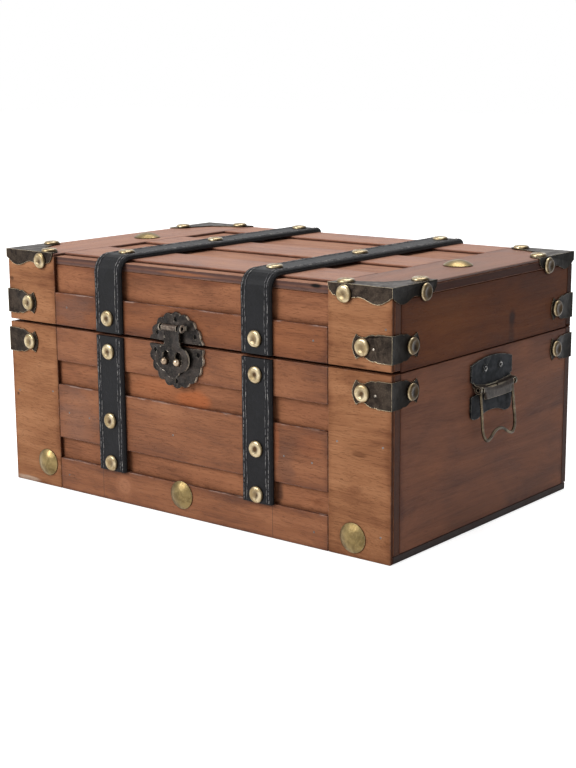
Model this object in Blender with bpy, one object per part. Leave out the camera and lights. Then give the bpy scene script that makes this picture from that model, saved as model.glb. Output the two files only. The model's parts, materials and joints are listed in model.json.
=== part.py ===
"""Wooden storage chest with a slatted front and lid, leather straps, studded
brackets, a scalloped hasp latch and a bail handle at each end.

Metres, +Z up, front towards -Y. The origin is the middle of the base's underside.
"""

import math

import bmesh
import bpy
from mathutils import Matrix, Vector

MM = 0.001

# Box over the boards, without the metalwork.
WIDTH = 299.4 * MM
DEPTH = 194.6 * MM
BODY_HEIGHT = 105 * MM
LID_HEIGHT = 44.6 * MM
SEAM = 1.7 * MM
LID_END_DROP = 1.2 * MM
BODY_END_DROP = 0.3 * MM
FIT = 0.25 * MM

# Timber.
BASE_T = 4.3 * MM
WALL_T = 5.7 * MM
TOP_T = 5.0 * MM
BOARD_T = 2.5 * MM
TOP_BOARD_T = 1.4 * MM
BASE_SETBACK = 0.8 * MM
ARRIS = 0.35 * MM

# Front boards, from the floor up, with the recessed bands between them.
STILE_W = 42.2 * MM
LOWER_BOARD_H = 20.4 * MM
LOWER_BAND_H = 13.6 * MM
MIDDLE_BOARD_H = 34.5 * MM
UPPER_BAND_H = 15.3 * MM
LID_BOARD_H = 20.4 * MM

# Boards across the lid's top, from its front edge back.
TOP_FRONT_BAND = 9.5 * MM
TOP_FRONT_BOARD = 38.0 * MM
TOP_FIRST_BAND = 35.0 * MM
TOP_MIDDLE_BOARD = 37.5 * MM
TOP_SECOND_BAND = 42.5 * MM

# Leather straps: two layers of hide with a groove between them at the edges.
STRAP_X = 58.3 * MM
STRAP_W = 21.6 * MM
STRAP_T = 2.6 * MM
STRAP_GROOVE = 0.35 * MM
STRAP_BEND = 8.0 * MM
STRAP_BACK_BEND = 0.8 * MM
STRAP_LAP = 0.2 * MM
STRAP_BACK_CLEAR = 3.0 * MM
STRAP_STUD_RIM = 9.8 * MM
STRAP_STUD_LOW = 5.0 * MM
STRAP_STUD_MIDDLE = 52.0 * MM
STRAP_STUD_LID = 9.1 * MM
STRAP_STUD_FRONT = 15.3 * MM
STRAP_STUD_BACK = 8.9 * MM

# Dished nail heads, and the big domed ones.
STUD_R = 4.9 * MM
STUD_H = 1.5 * MM
STUD_SIDES = 12
DOME_R = 8.6 * MM
DOME_H = 3.3 * MM
DOME_SIDES = 18
FRONT_DOMES = (("left", -119.2 * MM, 15.5 * MM), ("middle", -2.6 * MM, 13.6 * MM),
               ("right", 124.6 * MM, 11.3 * MM))
TOP_DOMES = (("left", -122.8 * MM, 3.0 * MM), ("right", 126.3 * MM, 3.0 * MM))

# Sheet brackets. Both legs of each are alike.
SHEET_T = 0.5 * MM
CORNER_LEG = 42.0 * MM
CORNER_DROP = 4.8 * MM
CORNER_LOBE = 9.4 * MM
CORNER_LOBE_AT = 10.0 * MM
CORNER_WAIST = 6.2 * MM
CORNER_STUD_AT = 31.0 * MM
CORNER_STUD_DROP = 5.2 * MM
CORNER_TOP_STUD_AT = 33.8 * MM
CORNER_TOP_STUD_IN = 5.1 * MM
CORNER_HOLLOW = 3.0 * MM
SEAM_LEG = 25.6 * MM
SEAM_HALF_H = 7.7 * MM
SEAM_STUD_AT = 18.8 * MM
SEAM_SHOULDER = 12.6 * MM
SEAM_HOLLOW = 2.6 * MM
SEAM_HORN_GAP = 4.3 * MM
SEAM_HORN_DROP = 0.9 * MM
SEAM_ABOVE = 12.0 * MM
SEAM_BELOW = 11.4 * MM

# Round latch plate, cut at the seam, and its hasp.
LATCH_X = -3.1 * MM
LATCH_R = 21.4 * MM
LATCH_DROP = 3.8 * MM
LATCH_SPREAD = 1.4 * MM
LATCH_TRIM = 0.6 * MM
LATCH_T = 1.0 * MM
LATCH_FIELD_R = 14.4 * MM
LATCH_FIELD_H = 1.2 * MM
SCALLOPS = 18
SCALLOP_DEPTH = 1.5 * MM
NAIL_HOLE_R = 1.1 * MM
NAIL_RING_R = 17.0 * MM
PIN_R = 0.9 * MM
PIN_RISE = 10.4 * MM
PIN_OUT = 6.4 * MM
EYE_R = 2.3 * MM
EYE_T = 1.5 * MM
EYE_GAP = 2.0 * MM
EYE_POST = 1.3 * MM
BARREL_R = 1.9 * MM
HASP_T = 1.2 * MM
HASP_NECK_W = 11.6 * MM
HASP_NECK_LEN = 8.5 * MM
HASP_LOBE_R = 7.7 * MM
HASP_LOBE_X = 5.4 * MM
HASP_LOBE_DROP = 18.7 * MM
HASP_TIP_R = 5.9 * MM
HASP_TIP_DROP = 24.4 * MM
SLOT_W = 5.8 * MM
SLOT_H = 8.8 * MM
SLOT_X = 4.9 * MM
SLOT_DROP = 18.5 * MM
BALL_R = 2.3 * MM
BALL_DROP = 20.2 * MM
BALL_PROUD = 0.9 * MM
BALL_NECK_R = 1.2 * MM

# End handles: a stamped plate whose hood holds a wire bail.
HANDLE_Y = 2.6 * MM
HANDLE_W = 44.4 * MM
HANDLE_T = 1.0 * MM
HANDLE_TOP = 98.1 * MM
HANDLE_ARCH = 3.3 * MM
HANDLE_BOTTOM = 66.2 * MM
HANDLE_FOOT = 7.4 * MM
HANDLE_FOOT_ARCH = 3.2 * MM
NOTCH_D = 7.0 * MM
NOTCH_H = 8.7 * MM
EYELET_X = 8.3 * MM
EYELET_Z = 94.7 * MM
EYELET_R = 2.3 * MM
EYELET_H = 0.7 * MM
EYELET_HOLE_R = 1.1 * MM
WIRE_R = 0.8 * MM
WIRE_FIT = 0.3 * MM
BAR_OUT = 4.2 * MM
BAR_Z = 84.1 * MM
HOOD_WALL = 1.25 * MM
HOOD_W = 40.0 * MM
HOOD_FILLET = 2.3 * MM
LIP_W = 29.4 * MM
LIP_DROP = 5.6 * MM
LIP_T = 1.0 * MM
BAIL_HALF_W = 17.5 * MM
BAIL_BULGE = 0.3 * MM
BAIL_DROP = 30.3 * MM
BAIL_LOBE_AT = 13.2 * MM
BAIL_RISE = 5.1 * MM
BAIL_LEAN = 3.0 * MM
BAIL_GAP = 1.5 * MM
BAIL_SWING = 100.0

# Butt hinges on the back.
HINGE_X = 90.0 * MM
HINGE_LEN = 32.0 * MM
HINGE_LEAF_H = 14.0 * MM
HINGE_LEAF_T = 1.0 * MM
KNUCKLE_R = 2.2 * MM
HINGE_PIN_R = 1.0 * MM

# Planes that follow from the sizes above.
HALF_W = WIDTH / 2
FRONT = -DEPTH / 2
BACK = DEPTH / 2
PANEL_FRONT = FRONT + BOARD_T + FIT
LID_Z = BODY_HEIGHT + SEAM
SEAM_Z = BODY_HEIGHT + SEAM / 2
TOP = LID_Z + LID_HEIGHT
TOP_PANEL_Z = TOP - TOP_BOARD_T - FIT
TOP_PANEL_UNDER = TOP_PANEL_Z - TOP_T
HINGE_Y = BACK + FIT + KNUCKLE_R
LATCH_Z = SEAM_Z - LATCH_DROP
PIN_Y = FRONT - PIN_OUT
PIN_Z = SEAM_Z + PIN_RISE
BAR_X = HALF_W + BAR_OUT
HOOD_R = WIRE_R + WIRE_FIT + HOOD_WALL
BOARDS_LEFT = -HALF_W + STILE_W + FIT
BOARDS_RIGHT = HALF_W - STILE_W - FIT
STILES = (("left", -HALF_W, -HALF_W + STILE_W), ("right", HALF_W - STILE_W, HALF_W))

# Corner name, its side in X and Y, and the turn that brings a bracket there.
CORNERS = (("front_right", 1, -1, 0), ("back_right", 1, 1, math.pi / 2),
           ("back_left", -1, 1, math.pi), ("front_left", -1, -1, -math.pi / 2))


def material(name, colour, roughness, metallic=0.0):
    mat = bpy.data.materials.new(name)
    mat.use_nodes = True
    shader = mat.node_tree.nodes["Principled BSDF"]
    shader.inputs["Base Color"].default_value = (*colour, 1.0)
    shader.inputs["Roughness"].default_value = roughness
    shader.inputs["Metallic"].default_value = metallic
    return mat


def empty(name, location, parent=None):
    """Empty on a joint's axis, which carries the pieces that turn with it."""
    obj = bpy.data.objects.new(name, None)
    bpy.context.scene.collection.objects.link(obj)
    obj["at"] = location
    obj.location = Vector(location) - Vector(parent["at"] if parent else (0, 0, 0))
    obj.parent = parent
    return obj


def add(name, data, mat, location=(0, 0, 0), turn=0.0, parent=None):
    """Object at a place in the chest's frame, turned about its own upright axis."""
    obj = bpy.data.objects.new(name, data)
    bpy.context.scene.collection.objects.link(obj)
    obj.location = Vector(location) - Vector(parent["at"] if parent else (0, 0, 0))
    obj.rotation_euler = (0, 0, turn)
    obj.parent = parent
    if not data.materials:
        data.materials.append(mat)
    return obj


def mesh_of(bm, smooth=None):
    """Mesh from a bmesh whose faces are turned outwards."""
    bmesh.ops.recalc_face_normals(bm, faces=bm.faces)
    mesh = bpy.data.meshes.new("piece")
    bm.to_mesh(mesh)
    bm.free()
    if smooth is not None:
        mesh.shade_smooth()
        mesh.set_sharp_from_angle(angle=math.radians(smooth))
    return mesh


def split(mesh):
    """Turns a mesh's faces, some of them hollow-sided, into triangles."""
    bm = bmesh.new()
    bm.from_mesh(mesh)
    bmesh.ops.triangulate(bm, faces=bm.faces)
    bm.to_mesh(mesh)
    bm.free()
    return mesh


def combine(base, joined=(), cuts=(), smooth=30):
    """Mesh of a base with other meshes united to it, and then some cut out of it."""
    pieces = [bpy.data.objects.new("base", split(base))]
    for operation, group in (("UNION", joined), ("DIFFERENCE", cuts)):
        for mesh, place in group:
            tool = bpy.data.objects.new("tool", split(mesh))
            tool.matrix_world = place
            tool.hide_render = True
            tool.display_type = "WIRE"
            step = pieces[0].modifiers.new(operation, "BOOLEAN")
            step.operation = operation
            step.solver = "EXACT"
            step.object = tool
            pieces.append(tool)
    for obj in pieces:
        bpy.context.scene.collection.objects.link(obj)
    bpy.context.view_layer.update()
    graph = bpy.context.evaluated_depsgraph_get()
    result = bpy.data.meshes.new_from_object(pieces[0].evaluated_get(graph))
    for obj in pieces:
        bpy.data.objects.remove(obj, do_unlink=True)
    result.materials.clear()
    result.shade_smooth()
    result.set_sharp_from_angle(angle=math.radians(smooth))
    return result


def facing(normal, where=(0, 0, 0)):
    """Placement that turns local +Z to a normal and moves it to a point."""
    turn = Vector((0, 0, 1)).rotation_difference(Vector(normal))
    return Matrix.Translation(where) @ turn.to_matrix().to_4x4()


def cuboid(low, high):
    """Closed box between two corners."""
    bm = bmesh.new()
    bmesh.ops.create_cube(bm, size=1.0)
    low, high = Vector(low), Vector(high)
    bmesh.ops.scale(bm, vec=high - low, verts=bm.verts)
    bmesh.ops.translate(bm, vec=(low + high) / 2, verts=bm.verts)
    return mesh_of(bm)


def board(name, low, high, mat, parent=None):
    """Straight piece of timber with its arrises eased, its origin at its middle."""
    low, high = Vector(low), Vector(high)
    middle = (low + high) / 2
    obj = add(name, cuboid(low - middle, high - middle), mat, middle, parent=parent)
    ease = obj.modifiers.new("arris", "BEVEL")
    ease.width = ARRIS
    ease.segments = 1
    ease.limit_method = "ANGLE"
    return obj


def turned(profile, sides):
    """Solid of revolution about Z from (radius, height) points, bottom to top."""
    bm = bmesh.new()
    verts = [bm.verts.new((r, 0, z)) for r, z in profile]
    edges = [bm.edges.new(pair) for pair in zip(verts, verts[1:])]
    bmesh.ops.spin(bm, geom=verts + edges, cent=(0, 0, 0), axis=(0, 0, 1),
                   angle=2 * math.pi, steps=sides, use_merge=True)
    bmesh.ops.remove_doubles(bm, verts=bm.verts, dist=1e-6)
    return mesh_of(bm, smooth=35)


def rod(radius, length, sides=16):
    """Round bar along X, centred on the origin."""
    mesh = turned([(0, -length / 2), (radius, -length / 2), (radius, length / 2), (0, length / 2)],
                  sides)
    mesh.transform(Matrix.Rotation(math.pi / 2, 4, "Y"))
    return mesh


def arc(centre, radius, start, end, steps):
    """Points of an arc, with its angles in degrees."""
    angles = [math.radians(start + (end - start) * i / steps) for i in range(steps + 1)]
    return [(centre[0] + radius * math.cos(a), centre[1] + radius * math.sin(a)) for a in angles]


def flat_plate(outline, thickness):
    """Plate whose (x, z) outline faces -Y, its back on the plane y = 0."""
    bm = bmesh.new()
    face = bm.faces.new([bm.verts.new((x, 0, z)) for x, z in outline])
    grown = bmesh.ops.extrude_face_region(bm, geom=[face])["geom"]
    bmesh.ops.translate(bm, vec=(0, -thickness, 0),
                        verts=[g for g in grown if isinstance(g, bmesh.types.BMVert)])
    return mesh_of(bm)


def folded_sheet(faces, thickness):
    """Sheet metal: flat faces that share their folds, thickened outwards."""
    bm = bmesh.new()
    for points in faces:
        bm.faces.new([bm.verts.new(p) for p in points])
    bmesh.ops.remove_doubles(bm, verts=bm.verts, dist=1e-6)
    mesh = bpy.data.meshes.new("sheet")
    bm.to_mesh(mesh)
    bm.free()
    obj = bpy.data.objects.new("sheet", mesh)
    bpy.context.scene.collection.objects.link(obj)
    thicken = obj.modifiers.new("thickness", "SOLIDIFY")
    thicken.thickness = thickness
    thicken.offset = 1.0
    thicken.use_even_offset = True
    bpy.context.view_layer.update()
    graph = bpy.context.evaluated_depsgraph_get()
    result = bpy.data.meshes.new_from_object(obj.evaluated_get(graph))
    bpy.data.objects.remove(obj, do_unlink=True)
    return result


# Nails and domes.

def stud():
    """Dished nail head on a short shank that enters what it fastens."""
    return turned([(0, -SHEET_T / 2), (STUD_R, -SHEET_T / 2), (STUD_R, 0.15 * STUD_H),
                   (0.8 * STUD_R, STUD_H), (0.5 * STUD_R, 0.9 * STUD_H), (0, 0.6 * STUD_H)],
                  STUD_SIDES)


def dome():
    """Big domed nail head: a cap of a sphere with a flat underside."""
    sphere = (DOME_R ** 2 + DOME_H ** 2) / (2 * DOME_H)
    half = math.degrees(math.asin(DOME_R / sphere))
    cap = arc((0, DOME_H - sphere), sphere, 90 - half, 90, 4)
    return turned([(0, 0)] + cap[:-1] + [(0, DOME_H)], DOME_SIDES)


# Straps.

def strap_start(z):
    """Strap's section on the front at a height: two layers with a groove between them."""
    half, mid, groove = STRAP_W / 2, STRAP_T / 2, STRAP_GROOVE
    edge = [(half, 0), (half, mid - groove), (half - groove, mid), (half, mid + groove),
            (half - groove, STRAP_T - groove), (half - 2.5 * groove, STRAP_T)]
    section = edge + [(-x, out) for x, out in reversed(edge)]
    bm = bmesh.new()
    face = bm.faces.new([bm.verts.new((x, FRONT - FIT - out, z)) for x, out in section])
    return bm, face


def draw_on(bm, face, matrix, steps=1):
    """Extrudes an end face by the same move several times and returns the new end."""
    for _ in range(steps):
        inside = len(face.edges[0].link_faces) > 1
        grown = bmesh.ops.extrude_face_region(bm, geom=[face])["geom"]
        if inside:
            bm.faces.remove(face)
        bmesh.ops.transform(bm, matrix=matrix,
                            verts=[g for g in grown if isinstance(g, bmesh.types.BMVert)])
        face = next(g for g in grown if isinstance(g, bmesh.types.BMFace))
    return face


def bend_about(y, z, degrees):
    """Turn about an axis along X through a point, by one step of a bend."""
    centre = Matrix.Translation((0, y, z))
    return centre @ Matrix.Rotation(math.radians(degrees), 4, "X") @ centre.inverted()


def body_strap():
    foot = LOWER_BOARD_H - STRAP_LAP
    bm, face = strap_start(foot)
    draw_on(bm, face, Matrix.Translation((0, 0, BODY_HEIGHT - ARRIS - foot)))
    out = FRONT - FIT - STRAP_T
    heights = (BODY_HEIGHT - STRAP_STUD_RIM, STRAP_STUD_MIDDLE, foot + STRAP_STUD_LOW)
    studs = [(stud(), facing((0, -1, 0), (0, out, z))) for z in heights]
    return combine(mesh_of(bm), studs)


def lid_strap():
    """Strap up the lid's front, over its top and down its back."""
    foot = LID_Z + ARRIS
    inside = TOP + FIT
    front, back = FRONT - FIT, BACK + FIT
    bm, face = strap_start(foot)
    face = draw_on(bm, face, Matrix.Translation((0, 0, inside - STRAP_BEND - foot)))
    face = draw_on(bm, face, bend_about(front + STRAP_BEND, inside - STRAP_BEND, -15), 6)
    run = (back - STRAP_BACK_BEND) - (front + STRAP_BEND)
    face = draw_on(bm, face, Matrix.Translation((0, run, 0)))
    face = draw_on(bm, face, bend_about(back - STRAP_BACK_BEND, inside - STRAP_BACK_BEND, -22.5), 4)
    drop = inside - STRAP_BACK_BEND - (LID_Z + STRAP_BACK_CLEAR)
    draw_on(bm, face, Matrix.Translation((0, 0, -drop)))
    over, behind = inside + STRAP_T, back + STRAP_T
    places = [((0, -1, 0), (0, front - STRAP_T, LID_Z + STRAP_STUD_LID))]
    places += [((0, 0, 1), (0, y, over))
               for y in (FRONT + STRAP_STUD_FRONT, 0, BACK - STRAP_STUD_BACK)]
    places += [((0, 1, 0), (0, behind, LID_Z + SEAM_ABOVE))]
    return combine(mesh_of(bm), [(stud(), facing(*place)) for place in places])


# Brackets. The corner that they cover is at the origin of their own frame,
# with one leg along -X on the front and the other along +Y on the side.

def corner_edge():
    """Lower edge of a corner bracket's leg, as (distance from the corner, drop)."""
    lobe = []
    for i in range(6):
        part = i / 5
        rise = math.sin(math.pi / 2 * part) ** 0.9
        lobe.append((part * CORNER_LOBE_AT, CORNER_DROP + (CORNER_LOBE - CORNER_DROP) * rise))
    waist_at = CORNER_STUD_AT - 1.9 * STUD_R
    for i in range(1, 6):
        part = i / 5
        fall = (1 - math.cos(math.pi * part)) / 2
        lobe.append((CORNER_LOBE_AT + part * (waist_at - CORNER_LOBE_AT),
                     CORNER_LOBE + (CORNER_WAIST - CORNER_LOBE) * fall))
    seat = CORNER_STUD_DROP + 0.4 * STUD_R
    run = CORNER_LEG - CORNER_STUD_AT - STUD_R
    end = [(CORNER_STUD_AT - 0.8 * STUD_R, seat), (CORNER_STUD_AT + STUD_R, 0.94 * seat)]
    for turn in (30, 60, 90):
        a = math.radians(turn)
        end.append((CORNER_STUD_AT + STUD_R + run * math.sin(a), 0.94 * seat * math.cos(a) + 0.02 * seat))
    return lobe + end


def corner_top():
    """Half of the top's free edge, from the end of the front leg to the middle."""
    reach = CORNER_TOP_STUD_IN + STUD_R
    run = CORNER_LEG - CORNER_TOP_STUD_AT
    end = [(CORNER_TOP_STUD_AT + run * math.cos(math.radians(turn)), reach * math.sin(math.radians(turn)))
           for turn in (30, 60, 90)]
    neck = (CORNER_TOP_STUD_AT - 1.2 * STUD_R, 1.15 * reach)
    middle = (neck[0] + neck[1]) / 2 - CORNER_HOLLOW
    return end + [neck, (middle, middle)]


def corner_bracket():
    edge = corner_edge()
    free = corner_top()
    front = [(-CORNER_LEG, 0, 0)] + [(-d, 0, -h) for d, h in reversed(edge)] + [(0, 0, 0)]
    side = [(0, 0, 0)] + [(0, d, -h) for d, h in edge] + [(0, CORNER_LEG, 0)]
    top = [(0, 0, 0), (-CORNER_LEG, 0, 0)] + [(-d, h, 0) for d, h in free]
    top += [(-h, d, 0) for d, h in reversed(free[:-1])] + [(0, CORNER_LEG, 0)]
    sheet = folded_sheet([front, side, list(reversed(top))], SHEET_T)
    drop, t = -CORNER_STUD_DROP, SHEET_T
    at, top_at, inward = CORNER_STUD_AT, CORNER_TOP_STUD_AT, CORNER_TOP_STUD_IN
    places = [((0, -1, 0), (-at, -t, drop)), ((1, 0, 0), (t, at, drop)),
              ((0, 0, 1), (-top_at, inward, t)), ((0, 0, 1), (-inward, top_at, t))]
    return combine(sheet, [(stud(), facing(*place)) for place in places])


def seam_edge():
    """Upper edge of a seam bracket's leg: nicked shoulder, hollow beside the stud, pointed horn."""
    half, low = SEAM_HALF_H, SEAM_HALF_H - SEAM_HOLLOW
    run = SEAM_STUD_AT - SEAM_SHOULDER
    shoulder = [(0.7 * SEAM_SHOULDER, half), (0.8 * SEAM_SHOULDER, half - 0.25 * SEAM_HOLLOW),
                (SEAM_SHOULDER, half - 0.12 * SEAM_HOLLOW)]
    hollow = [(SEAM_SHOULDER + 0.35 * run, half - 0.4 * SEAM_HOLLOW),
              (SEAM_SHOULDER + 0.7 * run, half - 0.85 * SEAM_HOLLOW), (SEAM_STUD_AT, low)]
    horn = [(SEAM_STUD_AT + 0.6 * SEAM_HORN_GAP, half - 0.8 * SEAM_HOLLOW),
            (SEAM_STUD_AT + SEAM_HORN_GAP, half - SEAM_HORN_DROP)]
    return shoulder + hollow + horn


def seam_bracket():
    upper = seam_edge()
    tip = upper[-1][0]
    ends = [(tip + 0.65 * (SEAM_LEG - tip), 0.5 * SEAM_HALF_H), (SEAM_LEG, 0.15 * SEAM_HALF_H)]
    half = [(0, SEAM_HALF_H)] + upper + ends
    leg = half + [(d, -h) for d, h in reversed(half)]
    front = [(-d, 0, h) for d, h in leg]
    side = [(0, d, h) for d, h in reversed(leg)]
    places = [((0, -1, 0), (-SEAM_STUD_AT, -SHEET_T, 0)), ((1, 0, 0), (SHEET_T, SEAM_STUD_AT, 0))]
    return combine(folded_sheet([front, side], SHEET_T), [(stud(), facing(*p)) for p in places])


# Latch.

def latch_half(upper):
    """One side of the scalloped dish, moved out from the seam and cut off along it."""
    middle = LATCH_Z + (LATCH_SPREAD if upper else -LATCH_SPREAD)
    rim, field = LATCH_T, LATCH_T + LATCH_FIELD_H
    profile = [(0, 0), (LATCH_R, 0), (LATCH_R, rim), (LATCH_FIELD_R + LATCH_FIELD_H, rim),
               (LATCH_FIELD_R - LATCH_FIELD_H, field), (0, field)]
    dish = turned(profile, 4 * SCALLOPS)
    dish.transform(facing((0, -1, 0), (LATCH_X, FRONT - FIT, middle)))
    bm = bmesh.new()
    bm.from_mesh(dish)
    for vert in bm.verts:
        out = Vector((vert.co.x - LATCH_X, vert.co.z - middle))
        if out.length > 0.99 * LATCH_R:
            lobe = abs(math.sin(SCALLOPS / 2 * math.atan2(out.y, out.x)))
            out *= 1 - SCALLOP_DEPTH * (1 - lobe) / LATCH_R
            vert.co.x, vert.co.z = LATCH_X + out.x, middle + out.y
    edge = LID_Z + LATCH_TRIM if upper else BODY_HEIGHT - LATCH_TRIM
    bmesh.ops.bisect_plane(bm, geom=bm.verts[:] + bm.edges[:] + bm.faces[:], plane_co=(0, 0, edge),
                           plane_no=(0, 0, -1 if upper else 1), clear_outer=True)
    bmesh.ops.holes_fill(bm, edges=[e for e in bm.edges if e.is_boundary], sides=0)
    return mesh_of(bm)


def nail_holes(spread, angles):
    """Cutters for the nail holes, on a ring round the middle of one half."""
    drill = turned([(0, -2 * LATCH_T), (NAIL_HOLE_R, -2 * LATCH_T), (NAIL_HOLE_R, 4 * LATCH_T),
                    (0, 4 * LATCH_T)], 10)
    ring = [(LATCH_X + NAIL_RING_R * math.cos(math.radians(a)),
             LATCH_Z + spread + NAIL_RING_R * math.sin(math.radians(a))) for a in angles]
    return [(drill, facing((0, -1, 0), (x, FRONT - FIT, z))) for x, z in ring]


def latch_plate_lower():
    """Lower plate with the two ball-headed studs that the hasp closes over."""
    field = FRONT - FIT - LATCH_T - LATCH_FIELD_H
    ball_y = PIN_Y + BARREL_R - HASP_T - BALL_PROUD
    length = field - ball_y
    start = math.degrees(math.asin(BALL_NECK_R / BALL_R))
    ball = arc((0, length), BALL_R, -90 + start, 90, 5)
    shape = turned([(0, -LATCH_T), (BALL_NECK_R, -LATCH_T)] + ball[:-1] + [(0, length + BALL_R)], 12)
    places = [(LATCH_X + x, field, PIN_Z - BALL_DROP) for x in (-SLOT_X, SLOT_X)]
    holes = nail_holes(-LATCH_SPREAD, (1, 179, 269))
    return combine(latch_half(False), [(shape, facing((0, -1, 0), p)) for p in places], holes)


def latch_plate_upper():
    """Upper plate with the two eyes that hold the hasp's pin."""
    spread = HASP_NECK_W / 2 + EYE_GAP + EYE_T / 2
    field = FRONT - FIT - LATCH_T / 2
    joined = []
    for x in (LATCH_X - spread, LATCH_X + spread):
        joined.append((rod(EYE_R, EYE_T), Matrix.Translation((x, PIN_Y, PIN_Z))))
        post = cuboid((x - EYE_T / 2 + FIT / 2, PIN_Y + (PIN_R + FIT + EYE_R) / 2, PIN_Z - EYE_POST),
                      (x + EYE_T / 2 - FIT / 2, field, PIN_Z + EYE_POST))
        joined.append((post, Matrix()))
    bore = (rod(PIN_R + FIT, 2 * spread + 4 * EYE_T), Matrix.Translation((LATCH_X, PIN_Y, PIN_Z)))
    return combine(latch_half(True), joined, [bore] + nail_holes(LATCH_SPREAD, (28, 91, 152)))


def hasp():
    """Rolled barrel, neck and two round lobes with a tall slot each, in the pin's own frame."""
    half, drop = HASP_NECK_W / 2, HASP_LOBE_DROP
    lobe = arc((HASP_LOBE_X, -drop), HASP_LOBE_R, 62, -80, 9)
    tip = arc((0, -HASP_TIP_DROP), HASP_TIP_R, -20, -90, 4)
    flare = [(half, -HASP_NECK_LEN),
             (half + 0.1 * (lobe[0][0] - half), 0.6 * lobe[0][1] - 0.4 * HASP_NECK_LEN),
             (half + 0.45 * (lobe[0][0] - half), 0.9 * lobe[0][1] - 0.1 * HASP_NECK_LEN)]
    right = [(half, 0)] + flare + lobe + tip
    outline = right + [(-x, z) for x, z in reversed(right[:-1])]
    back = BARREL_R
    plate = flat_plate(outline, HASP_T)
    plate.transform(Matrix.Translation((0, back, 0)))
    slot = arc((0, (SLOT_H - SLOT_W) / 2), SLOT_W / 2, 0, 180, 6)
    slot += arc((0, -(SLOT_H - SLOT_W) / 2), SLOT_W / 2, 180, 360, 6)
    punch = flat_plate(slot, 3 * HASP_T)
    cuts = [(punch, Matrix.Translation((x, back + HASP_T, -SLOT_DROP))) for x in (-SLOT_X, SLOT_X)]
    cuts.append((rod(PIN_R + FIT, 2 * HASP_NECK_W), Matrix()))
    return combine(plate, [(rod(BARREL_R, HASP_NECK_W), Matrix())], cuts)


# Handles, in a frame at the bail's axis with +X out from the chest's end.

def handle_outline():
    """Plate outline as (along the end, up), from its left foot round."""
    half, top = HANDLE_W / 2, HANDLE_TOP - BAR_Z
    bottom = HANDLE_BOTTOM - BAR_Z
    notch = NOTCH_H / 2
    rise_r = (half ** 2 + HANDLE_ARCH ** 2) / (2 * HANDLE_ARCH)
    swing = math.degrees(math.asin(half / rise_r))
    crown = arc((0, top + HANDLE_ARCH - rise_r), rise_r, 90 - swing, 90 + swing, 8)
    span = half - HANDLE_FOOT
    foot_r = (span ** 2 + HANDLE_FOOT_ARCH ** 2) / (2 * HANDLE_FOOT_ARCH)
    foot_swing = math.degrees(math.asin(span / foot_r))
    hollow = arc((0, bottom + HANDLE_FOOT_ARCH - foot_r), foot_r, 90 + foot_swing, 90 - foot_swing, 8)
    foot = arc((half - HANDLE_FOOT / 2, bottom + HANDLE_FOOT / 2), HANDLE_FOOT / 2, -90, 0, 3)
    side = [(half, -notch), (half - NOTCH_D, -0.76 * notch), (half - NOTCH_D, 0.3 * notch),
            (half, notch)]
    right = foot + side
    return hollow + right + crown + [(-x, z) for x, z in reversed(right)]


def across(profile, width):
    """Bar along Y with an (x, z) profile, centred on the origin."""
    bar = flat_plate(profile, width)
    bar.transform(Matrix.Translation((0, width / 2, 0)))
    return bar


def handle_plate():
    """Stamped plate with a hood: a rolled barrel for the bail's ends, a lip in front."""
    along = Matrix.Rotation(math.pi / 2, 4, "Z")
    back = -BAR_OUT + FIT
    face = back + HANDLE_T
    plate = flat_plate(handle_outline(), HANDLE_T)
    plate.transform(Matrix.Translation((back, 0, 0)) @ along)
    root = face - HANDLE_T / 2
    fillet = HOOD_FILLET
    sweep = arc((face + fillet, 0.95 * HOOD_R + fillet), fillet, 180, 270, 4)
    web = [(root, 0.95 * HOOD_R + fillet)] + sweep + [(0, 0.95 * HOOD_R), (0, 0.6 * HOOD_R),
                                                      (root, 0.35 * HOOD_R)]
    front = HOOD_R - HOOD_WALL * 0.1
    lip = [(front - LIP_T, 0), (front, 0), (front, -LIP_DROP + LIP_T / 2)]
    lip += [(front - LIP_T * 0.3, -LIP_DROP), (front - LIP_T, -LIP_DROP)]
    eyelet = turned([(0, -HANDLE_T / 2), (EYELET_R, -HANDLE_T / 2), (EYELET_R, EYELET_H / 3),
                     (0.75 * EYELET_R, EYELET_H), (EYELET_HOLE_R, EYELET_H),
                     (EYELET_HOLE_R, -HANDLE_T / 4), (0, -HANDLE_T / 4)], 12)
    joined = [(across(web, HOOD_W), Matrix()), (rod(HOOD_R, HOOD_W, 20), along),
              (across(lip, LIP_W), Matrix())]
    joined += [(eyelet, facing((1, 0, 0), (face, y, EYELET_Z - BAR_Z))) for y in (-EYELET_X, EYELET_X)]
    bore = WIRE_R + WIRE_FIT
    cuts = [(rod(bore, 2 * HOOD_W, 16), along)]
    narrow = 0.94 * bore
    lean = math.asin(BAIL_LEAN / BAIL_DROP)
    stop = Matrix.Rotation(math.radians(90 - BAIL_SWING) - lean, 4, "Y")
    for side in (-1, 1):
        low, high = sorted((side * (BAIL_HALF_W - bore), side * (BAIL_HALF_W + bore)))
        cuts.append((cuboid((-narrow, low, -3 * HOOD_R), (3 * HOOD_R, high, 0)), Matrix()))
        cuts.append((cuboid((0, low, -narrow), (3 * HOOD_R, high, narrow)), stop))
    return combine(plate, joined, cuts)


def smooth_path(points, steps):
    """Points along a smooth curve through the given ones."""
    path = []
    for i in range(len(points) - 1):
        before = points[max(i - 1, 0)]
        after = points[min(i + 2, len(points) - 1)]
        a, b = points[i], points[i + 1]
        for k in range(steps):
            t = k / steps
            path.append(0.5 * (2 * a + (b - before) * t + (2 * before - 5 * a + 4 * b - after) * t * t
                        + (3 * a - before - 3 * b + after) * t ** 3))
    return path + [points[-1]]


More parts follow.
